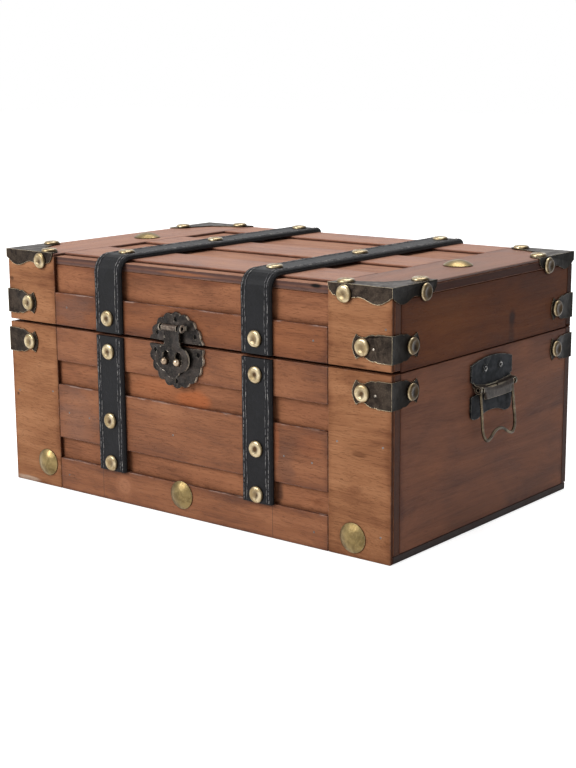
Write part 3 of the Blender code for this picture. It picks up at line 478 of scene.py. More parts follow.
orangePatch = screen(188, 104, 58)
darkSmudge = screen(52, 38, 36)
smoke = screen(118, 88, 76)
boards = {
    "front_panel": dict(look="band", spots=[
        patch((5, -94.5, 72.5), (13, 9, 6), orangePatch, 0.6),
        patch((-22, -94.5, 77), (34, 9, 10), screen(172, 102, 60), 0.35),
        patch((-76, -94.5, 74), (10, 9, 5), darkSmudge, 0.3),
        patch((71, -94.5, 28), (3.5, 9, 9), darkSmudge, 0.6),
        patch((97, -94.5, 26), (11, 9, 4.5), screen(104, 54, 28), 0.55)]),
    "back_panel": dict(look="side"),
    "end_panel_left": dict(look="side", along="y"),
    "end_panel_right": dict(look="side", along="y", spots=[
        patch((149.7, -20, 6), (9, 60, 9), darkSmudge, 0.25),
        patch((149.7, 65, 10), (9, 30, 12), darkSmudge, 0.25)]),
    "front_stile_left": dict(look="front", spots=[
        patch((-145.6, -97.3, 57.5), (1.5, 4, 1.3), darkSmudge, 0.7, ragged=0.2),
        patch((-140, -97.3, 1.5), (12, 4, 2.2), screen(214, 190, 168), 0.8)]),
    "front_stile_right": dict(look="front", spots=[
        patch((128, -97.3, 59), (5, 4, 1.6), screen(84, 46, 30), 0.5),
        patch((126, -97.3, 39), (5, 4, 3), screen(100, 56, 38), 0.4)]),
    "front_board_lower": dict(look="board", lip=0.5, knots=[((-50.5, -97.3, 10.9), 11)], spots=[
        patch((-50.5, -97.3, 10.9), (8, 9, 7), screen(188, 130, 96), 0.35),
        patch((-69, -97.3, 8), (0.34, 9, 30), darkSmudge, 0.55, ragged=0.0),
        patch((67.6, -97.3, 8), (0.34, 9, 30), darkSmudge, 0.55, ragged=0.0)]),
    "front_board_middle": dict(look="board", lip=0.7, spots=[
        patch((-92, -97.3, 44), (17, 9, 30), smoke, 0.38),
        patch((77, -97.3, 43), (8, 9, 11), screen(88, 58, 46), 0.42),
        patch((70, -97.3, 55), (2.6, 9, 14), orangePatch, 0.25),
        patch((96, -97.3, 58), (9, 9, 7), orangePatch, 0.12)]),
    "front_board_upper": dict(look="board"),
    # the ends colours below are painted shade on faces that look towards the ends
    "lid_top_panel": dict(look="ply", ends=(0.55, 0.45, 0.42), plies=[
        (0.0, screen(84, 60, 54)), (0.12, screen(116, 90, 82)), (0.34, screen(102, 76, 70)),
        (0.48, screen(126, 88, 72)), (0.6, screen(110, 80, 70)), (0.76, screen(92, 68, 63)),
        (0.9, screen(104, 78, 70)), (1.0, screen(48, 34, 32))], spots=[
        patch((4, -94.5, 147), (24, 5, 1.5), screen(184, 118, 78), 0.55),
        # the near-black patch is painted shade standing for a small chip
        patch((97.4, -94.5, 148.4), (4.6, 4, 1.5), screen(12, 8, 7), 1.0, ragged=0.15)]),
    "lid_front_rail": dict(look="band"),
    "lid_back_rail": dict(look="lidSide"),
    "lid_end_left": dict(look="lidSide", along="y"),
    "lid_end_right": dict(look="lidSide", along="y", spots=[
        patch((149.7, -40, 128), (9, 44, 18), screen(124, 76, 44), 0.3),
        patch((149.7, 25.8, 120), (9, 5, 6.5), screen(38, 26, 25), 0.85, ragged=0.35),
        patch((149.7, 25.5, 110), (9, 4.5, 10), screen(44, 30, 28), 0.5, ragged=0.35)]),
    "lid_front_stile_left": dict(look="front", spots=[
        patch((-147, -97.3, 133), (2.2, 4, 1.6), darkSmudge, 0.6, ragged=0.3)]),
    "lid_front_stile_right": dict(look="front", spots=[
        patch((129, -97.3, 108.3), (6, 4, 0.9), screen(66, 36, 24), 0.55, ragged=0.4)]),
    # the ends colours below are painted shade on faces that look towards the ends
    "lid_top_stile_left": dict(look="top", along="y", ends=(0.3, 0.22, 0.2)),
    "lid_top_stile_right": dict(look="topStile", along="y", ends=(0.26, 0.19, 0.17)),
    "lid_front_board": dict(look="lidBoard", lip=0.8, spots=[
        patch((-92, -97.3, 116), (17, 9, 14), smoke, 0.3)]),
    "lid_top_board_front": dict(look="top"),
    "lid_top_board_middle": dict(look="top"),
    "lid_top_board_back": dict(look="top"),
    "bottom_board": dict(look="base")}


def finishBoards():
    for seed, (node, board) in enumerate(boards.items()):
        low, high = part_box(node)
        look = screened(timber[board["look"]])
        dress(node, woodMaterial("wood_" + node, look, board, low, high, seed))


finishBoards()
print("stage 2: timber")


# Leather and metal finishes.

hide = dict(base=screen(12, 12, 14), lifted=screen(25, 25, 28), wearHighlight=screen(84, 82, 84),
            roughness=0.46, specular=0.16)


def leatherMaterial():
    material, tree, shader = newMaterial("black_hide", specular=hide["specular"])
    vector = addNode(tree, "TexCoord").outputs["Object"]
    cells = addNode(tree, "TexVoronoi", {"Vector": vector, "Scale": 1100.0}).outputs["Distance"]
    creases = noise(tree, vector, 260.0, 4.0, 0.65, 1.2)
    cloud = noise(tree, vector, 60.0, 3.0, 0.6)
    tone = plus(tree, times(tree, creases, 0.6), times(tree, cloud, 0.4))
    colour = mixColour(tree, span(tree, tone, 0.38, 0.66), hide["base"], hide["lifted"])
    wearHighlight = place(tree, edgeWearHighlight, Vector=vector, Radius=0.0005, Breaks=420.0, Amount=0.4)["Mask"]
    colour = mixColour(tree, times(tree, wearHighlight, 0.45), colour, hide["wearHighlight"])
    rough = plus(tree, hide["roughness"] - 0.12, times(tree, creases, 0.3))
    height = minus(tree, times(tree, creases, 1.2), times(tree, cells, 0.5))
    cover(tree, shader, colour, rough, height, 0.00018)
    return material


anyMetal = dict(radius=0.0003, speckle=0.05, specular=0.5, reach=0.0018)
metals = dict(
    iron=dict(base=(60, 51, 44), dark=(34, 28, 25), wearHighlight=(206, 190, 158), metallic=0.75,
              roughness=0.44, wearHighlightAmount=0.7, grimeAndShade=0.5, specular=0.05, sideShade=0.1),
    # plate, hood and nickel take a strong, far-reaching dark occlusion mask: painted shade under
    # the hood and round the ball heads
    plate=dict(base=(54, 56, 60), dark=(34, 36, 39), wearHighlight=(170, 170, 160), metallic=0.04,
               roughness=0.45, wearHighlightAmount=0.62, radius=0.0004, grimeAndShade=0.9, speckle=0.01, reach=0.007,
               specular=0.03),
    eyelet=dict(base=(196, 194, 190), dark=(104, 102, 100), wearHighlight=(248, 248, 244), metallic=0.15,
                roughness=0.35, wearHighlightAmount=0.5, grimeAndShade=0.15),
    nickel=dict(base=(180, 160, 136), dark=(96, 78, 62), wearHighlight=(250, 244, 228), metallic=0.95,
                roughness=0.22, wearHighlightAmount=0.5, grimeAndShade=1.0, speckle=0.08, reach=0.004),
    bronze=dict(base=(53, 46, 42), dark=(20, 17, 16), wearHighlight=(214, 202, 182), metallic=0.8,
                roughness=0.36, wearHighlightAmount=0.36, radius=0.0004, grimeAndShade=0.8, lit=0.85),
    # the barrel finish is a brighter copy of the hasp's bronze: painted highlight on its rolled
    # barrel
    barrel=dict(base=(108, 95, 84), dark=(58, 48, 43), wearHighlight=(228, 216, 194), metallic=0.85,
                roughness=0.3, wearHighlightAmount=0.7, radius=0.0004, grimeAndShade=0.7, speckle=0.1),
    hood=dict(base=(60, 50, 44), dark=(36, 31, 27), wearHighlight=(214, 202, 176), metallic=0.22,
              roughness=0.34, wearHighlightAmount=0.75, radius=0.0006, grimeAndShade=0.85, reach=0.004, specular=0.1),
    wire=dict(base=(98, 87, 69), dark=(50, 43, 34), wearHighlight=(220, 206, 178), metallic=0.9,
              roughness=0.3, wearHighlightAmount=0.4, grimeAndShade=0.7, speckle=0.08),
    brass=dict(base=(190, 174, 142), dark=(140, 120, 86), wearHighlight=(244, 236, 214), metallic=0.92,
               roughness=0.26, wearHighlightAmount=0.5, grimeAndShade=0.9, sideShade=0.16),
    pale=dict(base=(200, 187, 172), dark=(130, 116, 102), wearHighlight=(246, 240, 224), metallic=0.55,
              roughness=0.3, wearHighlightAmount=0.6, grimeAndShade=0.6),
    dome=dict(base=(137, 118, 78), dark=(102, 86, 54), wearHighlight=(236, 228, 188), metallic=0.94,
              roughness=0.34, wearHighlightAmount=0.4, grimeAndShade=0.9, speckle=0.06),
    steel=dict(base=(126, 120, 118), dark=(80, 76, 74), wearHighlight=(200, 196, 192), metallic=0.6,
               roughness=0.5, wearHighlightAmount=0.4, radius=0.0002, grimeAndShade=0.5, speckle=0.1),
    shadow=dict(base=(12, 10, 10), dark=(6, 5, 5), wearHighlight=(30, 26, 24), metallic=0.0, roughness=0.8,
                wearHighlightAmount=0.1, radius=0.0002, grimeAndShade=0.5, speckle=0.0, specular=0.1))


def metalMaterial(name, look):
    look = {**anyMetal, **look}
    material, tree, shader = newMaterial(name, metallic=look["metallic"],
                                         specular=look["specular"])
    coords = addNode(tree, "TexCoord").outputs
    vector, normal = coords["Object"], coords["Normal"]
    aged = place(tree, patina, Vector=vector)
    colour = mixColour(tree, aged["Cloud"], look["dark"], look["base"])
    colour = mixColour(tree, times(tree, aged["Speckle"], look["speckle"]), colour, look["wearHighlight"])
    # tarnish in the stud dishes, widened on side-facing studs as painted shade
    tarnishAndShade = addNode(tree, "Attribute", attribute_name="tarnishAndShade").outputs["Fac"]
    stain = times(tree, tarnishAndShade, plus(tree, 0.5, aged["Cloud"]), clamp=True)
    colour = mixColour(tree, stain, colour, screen(72, 52, 31))
    # painted shade and dirt: darker where nearby surfaces close in
    dirtAndShade = place(tree, grimeAndShade, Vector=vector, Distance=look["reach"])["Mask"]
    colour = tint(tree, times(tree, dirtAndShade, look["grimeAndShade"]), colour, (0.16, 0.1, 0.06))
    wearHighlight = place(tree, edgeWearHighlight, Vector=vector, Radius=look["radius"], Breaks=350.0,
                 Amount=look["wearHighlightAmount"])["Mask"]
    colour = mixColour(tree, wearHighlight, colour, look["wearHighlight"])
    if "lit" in look:
        # painted highlight: cut sides that face right are made bright and less metallic
        bright = span(tree, axisPart(tree, normal, 0), 0.45, 0.75)
        bright = times(tree, bright, plus(tree, 0.4, aged["Cloud"]), clamp=True)
        bright = times(tree, bright, look["lit"])
        colour = mixColour(tree, bright, colour, look["wearHighlight"])
        join(tree, minus(tree, look["metallic"], times(tree, bright, 0.7)),
             shader.inputs["Metallic"])
    if "sideShade" in look:
        # painted shade: metal faces that look towards the two ends are darkened
        sideways = calc(tree, "ABSOLUTE", axisPart(tree, normal, 0))
        sideShadeMask = span(tree, sideways, 0.45, 0.8)
        level = look["sideShade"]
        colour = tint(tree, sideShadeMask, colour, (level, level * 0.88, level * 0.76))
    rough = plus(tree, look["roughness"] + 0.08, times(tree, aged["Cloud"], -0.14))
    rough = plus(tree, rough, times(tree, dirtAndShade, 0.2))
    cover(tree, shader, colour, rough, aged["Height"], 0.00009)
    return material


def threadMaterial():
    material, tree, shader = newMaterial("waxed_thread", roughness=0.6)
    vector = addNode(tree, "TexCoord").outputs["Object"]
    spread = noise(tree, vector, 220.0, 3.0, 0.6)
    colour = ramp(tree, spread, [(0.36, screen(48, 47, 49)), (0.5, screen(112, 110, 112)),
                                 (0.66, screen(172, 168, 164))])
    cover(tree, shader, colour, None, noise(tree, vector, 4200.0, 1.0), 0.00008)
    return material


leather = leatherMaterial()
thread = threadMaterial()
finish = {name: metalMaterial("aged_" + name, screened(look)) for name, look in metals.items()}
print("stage 3: leather and metal finishes")


# Making pieces.

ahead, behind, right, up = (0, -1, 0), (0, 1, 0), (1, 0, 0), (0, 0, 1)


def meshObject(name, bm):
    mesh = bpy.data.meshes.new(name)
    bm.to_mesh(mesh)
    bm.free()
    return addObject(name, mesh)


def newPiece(name, bm, materials, body, smooth=35, flatOver=None):
    bm.normal_update()
    piece = meshObject(name, bm)
    mesh = piece.data
    for material in materials:
        mesh.materials.append(material)
    mesh.polygons.foreach_set("use_smooth", [True] * len(mesh.polygons))
    mesh.set_sharp_from_angle(angle=math.radians(smooth))
    for face in mesh.polygons:
        if flatOver and face.area > flatOver * mm * mm:
            face.use_smooth = False
    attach(piece, body)
    return piece


def facing(normal, where):
    # turns local +Z to the normal and moves the origin there
    turn = Vector(normal).to_track_quat("Z", "Y").to_matrix().to_4x4()
    return Matrix.Translation(Vector(where) * mm) @ turn


def spinUp(bm, profile, sides, matrix):
    # closed turning of (radius, height) points in millimetres, set down by the matrix
    made = [bm.verts.new((r * mm, 0, h * mm)) for r, h in profile]
    edges = [bm.edges.new(pair) for pair in zip(made, made[1:])]
    if profile[0][0] > 0 and profile[-1][0] > 0:
        edges.append(bm.edges.new((made[-1], made[0])))
    spun = bmesh.ops.spin(bm, geom=made + edges, cent=(0, 0, 0), axis=(0, 0, 1), dvec=(0, 0, 0),
                          angle=2 * math.pi, steps=sides, use_merge=True, use_duplicate=False)
    verts = [v for v in bm.verts if not v.tag]
    bmesh.ops.remove_doubles(bm, verts=verts, dist=0.000002)
    verts = [v for v in bm.verts if not v.tag]
    faces = [f for f in bm.faces if not f.tag]
    bmesh.ops.recalc_face_normals(bm, faces=faces)
    bmesh.ops.transform(bm, matrix=matrix, verts=verts)
    for item in verts + faces:
        item.tag = True
    return verts, faces


def spinPiece(name, profile, sides, places, look, body):
    bm = bmesh.new()
    for matrix in places:
        spinUp(bm, profile, sides, matrix)
    return newPiece(name, bm, [finish[look]], body)


def bodyOf(node):
    return body_of(nodes[node])[0]


# Nail heads.

# reach of the tarnish in each stud's dish; side-facing studs get a wider dark dish as painted
# shade
studTarnishAndShade = dict(front=2.6, side=3.7)
studHead = [(0, -0.2), (4.2, -0.2), (5.02, 0.0), (5.08, 0.28), (4.9, 0.82), (4.5, 1.34),
            (3.95, 1.68), (3.3, 1.74), (2.7, 1.6), (1.9, 1.3), (1.0, 1.1), (0, 1.02)]
strapFace = 100.15
strapHalf = 10.8
strapPlaces = dict(left=-58.3, right=58.3)
boxCorner = (149.95, 97.55)
studPlaces = {
    "body_strap": [(ahead, (0, -strapFace, z)) for z in (95.2, 52.0, 25.2)],
    "lid_strap": [(ahead, (0, -strapFace, 115.8)), (up, (0, -82.0, 154.15)),
                  (up, (0, 0, 154.15)), (up, (0, 88.4, 154.15)), (behind, (0, strapFace, 118.7))],
    "bracket": [(ahead, (-18.8, -0.5, 0)), (right, (0.5, 18.8, 0))],
    "corner": [(ahead, (-31, -0.5, -5.2)), (right, (0.5, 31, -5.2)), (up, (-33.8, 5.1, 0.5)),
               (up, (-5.1, 33.8, 0.5))]}
corners = dict(front_right=(1, -1, 0), back_right=(1, 1, 90), back_left=(-1, 1, 180),
               front_left=(-1, -1, -90))


def makeStuds():
    owners = []
    for side, x in strapPlaces.items():
        shift = Matrix.Translation((x * mm, 0, 0))
        owners.append(("body_strap_" + side, shift, studPlaces["body_strap"]))
        owners.append(("lid_strap_" + side, shift, studPlaces["lid_strap"]))
    for corner, (x, y, turn) in corners.items():
        for kind, height, spots in (("body_bracket_", 93.6, "bracket"),
                                    ("lid_bracket_", 118.7, "bracket"),
                                    ("lid_corner_", 151.55, "corner")):
            shift = Matrix.Translation((x * boxCorner[0] * mm, y * boxCorner[1] * mm, height * mm))
            shift = shift @ Matrix.Rotation(math.radians(turn), 4, "Z")
            owners.append((kind + corner, shift, studPlaces[spots]))
    for owner, shift, places in owners:
        bm = bmesh.new()
        tarnishAndShade = bm.verts.layers.float.new("tarnishAndShade")
        for normal, where in places:
            matrix = shift @ facing(normal, where)
            # side-facing studs take the wider dark dish of painted shade
            sideways = abs((shift.to_3x3() @ Vector(normal)).x) > 0.5
            reach = studTarnishAndShade["side" if sideways else "front"]
            for vert in spinUp(bm, studHead, 32, matrix)[0]:
                flat = matrix.inverted() @ vert.co / mm
                vert[tarnishAndShade] = max(0, 1 - math.hypot(flat.x, flat.y) / reach) ** 0.6
        newPiece("studs_" + owner, bm, [finish["brass"]], bodyOf(owner))


def makeDomes():
    # thin-edged cap, a little fuller towards the middle
    cap = [(0, -0.1), (8.3, -0.1), (8.6, 0.05), (8.62, 0.35), (8.3, 0.62), (7.6, 1.1), (6.6, 1.7),
           (5.4, 2.26), (4.0, 2.76), (2.6, 3.1), (1.3, 3.28), (0, 3.34)]
    spots = {"dome_front_left": (ahead, (-119.2, -97.5, 15.5)),
             "dome_front_middle": (ahead, (-2.6, -97.5, 13.6)),
             "dome_front_right": (ahead, (124.6, -97.5, 11.3)),
             "dome_top_left": (up, (-122.8, 3, 151.5)), "dome_top_right": (up, (126.3, 3, 151.5))}
    for node, (normal, where) in spots.items():
        piece = spinPiece(node + "_cap", cap, 56, [facing(normal, where)], "dome", bodyOf(node))
        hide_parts(node)


makeStuds()
makeDomes()
print("stage 4: nail heads")


# Straps: stitched along both edges, with a creased line inside the stitching.

seams = dict(edge=1.7, crease=3.7, stitch=2.8, gap=-0.3, thick=0.25, creaseRun=4.6,
             creaseGap=-0.4, creaseThick=0.2, proud=0.12)


def strapRoute(lid):
    # (y, z, normal y, normal z) every half millimetre along the middle of a strap
    if not lid:
        return [(-strapFace, 21 + 0.5 * i, -1, 0) for i in range(166)]
    route = [(-strapFace, 107.8 + 0.5 * i, -1, 0) for i in range(72)]
    for i in range(32):
        a = math.radians(90 * i / 32)
        route.append((-89.55 - 10.6 * math.cos(a), 143.55 + 10.6 * math.sin(a),
                      -math.cos(a), math.sin(a)))
    route += [(-89.55 + 0.5 * i, 154.15, 0, 1) for i in range(373)]
    for i in range(11):
        a = math.radians(90 * i / 11)
        route.append((96.75 + 3.4 * math.sin(a), 150.75 + 3.4 * math.cos(a),
                      math.sin(a), math.cos(a)))
    route += [(strapFace, 150.75 - 0.5 * i, 1, 0) for i in range(82)]
    return route


def sewLine(bm, route, x, offset, length, gap, thick, rng):
    along = 0
    step = int(round((length + gap) * 2))
    while along + 2 < len(route):
        run = int(round(length * 2 * rng.uniform(0.75, 1.15)))
        first, last = route[along], route[min(along + run, len(route) - 1)]
        middle = route[min(along + run // 2, len(route) - 1)]
        start, end = Vector((0, *first[:2])), Vector((0, *last[:2]))
        tangent = end - start
        if tangent.length > 0.5:
            out = Vector((0, *middle[2:]))
            lean = math.radians(rng.uniform(-3, 3))
            sway = 0.28 * math.sin(along * 0.11 + offset) + rng.uniform(-0.12, 0.12)
            centre = Vector((x + offset + sway, *middle[:2])) + out * seams["proud"]
            made = bmesh.ops.create_uvsphere(bm, u_segments=6, v_segments=4, radius=mm)["verts"]
            size = Matrix.Diagonal((thick, thick, tangent.length / 2, 1))
            turn = tangent.to_track_quat("Z", "X").to_matrix().to_4x4()
            spun = Matrix.Rotation(lean, 4, out)
            bmesh.ops.transform(bm, matrix=Matrix.Translation(centre * mm) @ spun @ turn @ size,
                                verts=made)
        along += step


def sewStraps():
    rng = random.Random(7)
    for side, x in strapPlaces.items():
        for part, body in (("body", "chest"), ("lid", "lid")):
            route = strapRoute(part == "lid")
            bm = bmesh.new()
            for way in (-1, 1):
                sewLine(bm, route, x, way * (strapHalf - seams["edge"]), seams["stitch"],
                        seams["gap"], seams["thick"], rng)
                sewLine(bm, route, x, way * (strapHalf - seams["crease"]), seams["creaseRun"],
                        seams["creaseGap"], seams["creaseThick"], rng)
            newPiece("stitching_" + part + "_" + side, bm, [thread], body, smooth=80)
            dress(part + "_strap_" + side, leather)


sewStraps()
print("stage 5: straps")


# Sheet brackets, with a pressed border along each outline.

pressed = dict(rim=0.42, depth=0.16)


def copyOf(node):
    bm = bmesh.new()
    bm.from_mesh(nodes[node].data)
    bmesh.ops.remove_doubles(bm, verts=bm.verts, dist=0.000001)
    bmesh.ops.dissolve_limit(bm, angle_limit=math.radians(0.5), verts=bm.verts, edges=bm.edges)
    return bm


def sinkFaces(bm, ways, rim, depth, least):
    for way in ways:
        flat = [f for f in bm.faces if f.normal.dot(Vector(way)) > 0.999]
        level = max(f.calc_center_median().dot(Vector(way)) * (f.calc_area() > least * mm * mm)
                    for f in flat)
        flat = [f for f in flat
                if abs(f.calc_center_median().dot(Vector(way)) - level) < 0.02 * mm]
        bmesh.ops.inset_region(bm, faces=flat, thickness=rim * mm, depth=-depth * mm,
                               use_even_offset=True, use_boundary=True)


def pressBrackets():
    for corner, (x, y, turn) in corners.items():
        for kind in ("body_bracket_", "lid_bracket_", "lid_corner_"):
            node = kind + corner
            bm = copyOf(node)
            sinkFaces(bm, [(x, 0, 0), (0, y, 0)], pressed["rim"], pressed["depth"], 40)
            piece = newPiece(node + "_pressed", bm, [finish["iron"]], bodyOf(node))
            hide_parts(node)


pressBrackets()
print("stage 6: brackets")


# Latch: fluted plate halves over the plain ones, rings, ball heads and the hasp.

latch = dict(x=-3.1, z=102.05, spread=1.4, radius=21.5, scallops=18, scallopDepth=1.5, flute=0.24,
             holeRing=17.0, hole=1.35, dimple=3.3, eye=8.55, pinY=-103.7, pinZ=116.25,
             face=-97.55, nailFace=-98.35, upperFoot=107.25, lowerTop=104.45,
             ballX=4.9, ballY=-103.9, ballZ=96.05)

latchNails = {True: (28, 91, 152), False: (1, 179, 269)}


def cutAway(bm, cutters):
    # takes closed shapes out of a closed one with an exact Boolean
    base, cutter = meshObject("cutting", bm), meshObject("cutter", cutters)
    cut = base.modifiers.new("cut", "BOOLEAN")
    cut.operation = "DIFFERENCE"
    cut.solver = "EXACT"
    cut.object = cutter
    result = bmesh.new()
    result.from_mesh(base.evaluated_get(bpy.context.evaluated_depsgraph_get()).data)
    bpy.data.objects.remove(base)
    bpy.data.objects.remove(cutter)
    return result


def latchHeight(radius):
    points = [(0, 2.5), (9, 2.5), (12.5, 2.42), (14.4, 2.15), (16, 1.78), (18, 1.58), (20, 1.48),
              (20.7, 1.62), (21.2, 1.6), (21.5, 1.3)]
    for (r0, h0), (r1, h1) in zip(points, points[1:]):
        if radius <= r1:
            return h0 + (h1 - h0) * (radius - r0) / (r1 - r0)
    return points[-1][1]


def latchMiddle(upper):
    return latch["z"] + (latch["spread"] if upper else -latch["spread"])


def latchHoles(upper):
    # where the nails of one half sit, counted from its middle
    turns = [math.radians(angle) for angle in latchNails[upper]]
    return [(latch["holeRing"] * math.cos(a), latch["holeRing"] * math.sin(a)) for a in turns]


def latchShell(upper):
    radii = [0.5 * i for i in range(1, 41)] + [20.35, 20.7, 21.0, 21.25, 21.5]
    profile = [(0, 0.1), (latch["radius"], 0.1)]
    profile += [(r, latchHeight(r)) for r in reversed(radii)] + [(0, 2.5)]
    bm = bmesh.new()
    spinUp(bm, profile, 144, Matrix())
    holes = [Vector(at) for at in latchHoles(upper)]
    for vert in bm.verts:
        flat = Vector((vert.co.x, vert.co.y)) / mm
        radius = flat.length
        if radius < 0.01:
            continue
        lobe = abs(math.sin(latch["scallops"] / 2 * math.atan2(flat.y, flat.x)))
        outer = max(0, (radius - 12) / 9.5)
        shrink = 1 - latch["scallopDepth"] * (1 - lobe) * outer ** 3 / latch["radius"]
        if vert.co.z > 0.5 * mm:
            vert.co.z += latch["flute"] * mm * min(outer, 1) * (2 * lobe - 1.2)
            for hole in holes:
                away = (flat - hole).length / latch["dimple"]
                if away < 1:
                    vert.co.z += mm * (0.3 * math.sin(math.pi * away) - 0.8 * (1 - away))
                elif away < 1.25:
                    vert.co.z += mm * 0.12 * math.sin(math.pi * (away - 1) / 0.25)
        vert.co.x *= shrink
        vert.co.y *= shrink
    drills = bmesh.new()
    for hole in holes:
        bmesh.ops.create_cone(drills, cap_ends=True, segments=24, radius1=latch["hole"] * mm,
                              radius2=latch["hole"] * mm, depth=8 * mm,
                              matrix=Matrix.Translation((hole.x * mm, hole.y * mm, 0)))
    bm = cutAway(bm, drills)
    bmesh.ops.transform(bm, matrix=facing(ahead, (latch["x"], latch["face"], latchMiddle(upper))),
                        verts=bm.verts)
    edge = latch["upperFoot" if upper else "lowerTop"]
    bmesh.ops.bisect_plane(bm, geom=bm.verts[:] + bm.edges[:] + bm.faces[:],
                           plane_co=(0, 0, edge * mm), plane_no=(0, 0, -1 if upper else 1),
                           clear_outer=True)
    bmesh.ops.holes_fill(bm, edges=[e for e in bm.edges if e.is_boundary], sides=0)
    side = "upper" if upper else "lower"
    newPiece("latch_shell_" + side, bm, [finish["bronze"]], "lid" if upper else "chest", 30)


def paintByReach(faces, matrix, within, beyond):
    # slot 1 inside a ring, slot 2 round its outside
    for face in faces:
        flat = matrix.inverted() @ face.calc_center_median() / mm
        reach = math.hypot(flat.x, flat.y)
        face.material_index = 1 if reach < within else 2 if reach > beyond else 0


def latchTrim():
    lip = [(1.15, 0.78), (1.24, 0.96), (1.55, 1.1), (1.95, 1.1), (2.28, 0.95), (2.46, 0.7),
           (2.53, 0.35)]
    ring = [(0, -0.78)] + [(r, -h) for r, h in lip] + [(2.55, 0)] + lip[::-1] + [(0, 0.78)]
    bm = bmesh.new()
    for way in (-1, 1):
        matrix = facing((way, 0, 0), (latch["x"] + way * latch["eye"], latch["pinY"],
                                      latch["pinZ"]))
        paintByReach(spinUp(bm, ring, 32, matrix)[1], matrix, 1.18, 2.1)
    newPiece("latch_eye_rings", bm, [finish["pale"], finish["shadow"], finish["bronze"]], "lid")
    nail = [(0, -1.2), (1.0, -1.2), (1.3, -0.2), (1.34, 0.1), (1.1, 0.35), (0.6, 0.5), (0, 0.55)]
    # near-black nail heads: painted shade for the holes they sit in
    for upper in (True, False):
        places = [facing(ahead, (latch["x"] + x, latch["nailFace"], latchMiddle(upper) + z))
                  for x, z in latchHoles(upper)]
        spinPiece("latch_nails_" + ("upper" if upper else "lower"), nail, 20, places, "shadow",
                  "lid" if upper else "chest")
    ball = [(0, -1.9), (1.45, -1.8)]
    ball += [(2.36 * math.cos(a), 2.36 * math.sin(a))
             for a in (math.radians(d) for d in range(-50, 90, 10))] + [(0, 2.36)]
    places = [facing(ahead, (latch["x"] + way * latch["ballX"], latch["ballY"], latch["ballZ"]))
              for way in (-1, 1)]
    spinPiece("latch_ball_heads", ball, 32, places, "nickel", "chest")


def raiseHasp():
    bm = copyOf("hasp")
    sinkFaces(bm, [ahead], 0.5, 0.2, 60)
    # painted highlight: the rolled barrel takes the brighter finish
    for face in bm.faces:
        if face.calc_center_median().z > (latch["pinZ"] - 2.2) * mm:
            face.material_index = 1
    piece = newPiece("hasp_pressed", bm, [finish["bronze"], finish["barrel"]], "hasp")
    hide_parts("hasp")


for half in (True, False):
    latchShell(half)
latchTrim()
raiseHasp()
for node in ("latch_plate_upper", "latch_plate_lower", "latch_pin"):
    dress(node, finish["bronze"])
print("stage 7: latch")


# End handles.

handle = dict(y=2.6, eyeletY=8.3, eyeletZ=94.7, face=150.95, hoodFace=151.25, hoodTop=91,
              hoodFoot=76, hoodRise=7, dip=2.0, press=0.7, wire=0.13)


def sagHood(bm, way):
    # the hood sags between its rolled ends
    face, top = handle["hoodFace"], handle["hoodTop"]
    hood = [v for v in bm.verts if v.co.x * way > face * mm and v.co.z < top * mm]
    ends = [v.co.y for v in hood]
    middle, half = (max(ends) + min(ends)) / 2, (max(ends) - min(ends)) / 2
    runs = [e for e in bm.edges if abs(e.verts[0].co.y - e.verts[1].co.y) > half
            and all(v in hood for v in e.verts)]
    bmesh.ops.subdivide_edges(bm, edges=runs, cuts=11, use_grid_fill=True)
    for vert in bm.verts:
        height = vert.co.z / mm
        if vert.co.x * way > face * mm and height < top:
            sag = max(0, 1 - ((vert.co.y - middle) / (0.94 * half)) ** 2)
            sag *= min(1, max(0, (height - handle["hoodFoot"]) / handle["hoodRise"]))
            vert.co.z -= handle["dip"] * sag * mm
            vert.co.x -= handle["press"] * way * sag * mm
    for flat in bm.faces:
        at = flat.calc_center_median() / mm
        if at.x * way > face and at.z < top:
            flat.material_index = 1


def dressHandles():
    eyelet = [(0, -0.2), (0, 0.12), (0.98, 0.12), (1.02, 0.7), (1.2, 0.84), (1.5, 0.86),
              (1.78, 0.76), (2.1, 0.5), (2.36, 0.28), (2.4, -0.2)]
    for side, way in (("left", -1), ("right", 1)):
        node = "handle_plate_" + side
        bm = copyOf(node)
        sagHood(bm, way)
        piece = newPiece(node + "_stamped", bm, [finish["plate"], finish["hood"]], "chest", 40,
                         flatOver=60)
        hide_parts(node)
        bm = bmesh.new()
        for along in (-1, 1):
            matrix = facing((way, 0, 0), (
                way * handle["face"], handle["y"] + along * handle["eyeletY"],
                handle["eyeletZ"]))
            paintByReach(spinUp(bm, eyelet, 28, matrix)[1], matrix, 1.06, 1.55)
        newPiece("handle_eyelets_" + side, bm,
                 [finish["eyelet"], finish["shadow"], finish["plate"]], "chest")
        bm = copyOf("bail_" + side)
        bm.normal_update()
        for vert in bm.verts:
            vert.co += vert.normal * handle["wire"] * mm
        piece = newPiece("bail_" + side + "_wire", bm, [finish["wire"]], "handle_" + side, 60)
        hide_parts("bail_" + side)


dressHandles()
print("stage 8: handles")


# Hinges and small nails.

hinge = dict(x=90, screwStep=11, screwFace=98.55, lowerZ=96.4, upperZ=115.3)


def fitHinges():
    screwHead = [(0, -0.1), (2.0, -0.1), (2.1, 0.1), (1.9, 0.38), (1.3, 0.55), (0.5, 0.6),
                 (0.4, 0.25), (0, 0.25)]
    for side, x in (("left", -hinge["x"]), ("right", hinge["x"])):
        for part, body in (("lower", "chest"), ("upper", "lid")):
            node = "hinge_leaf_" + part + "_" + side
            dress(node, finish["bronze"])
            places = [facing(behind, (x + step * hinge["screwStep"], hinge["screwFace"],
                                      hinge[part + "Z"])) for step in (-1, 0, 1)]
            spinPiece("hinge_screws_" + part + "_" + side, screwHead, 24, places, "wire", body)
        dress("hinge_pin_" + side, finish["wire"])


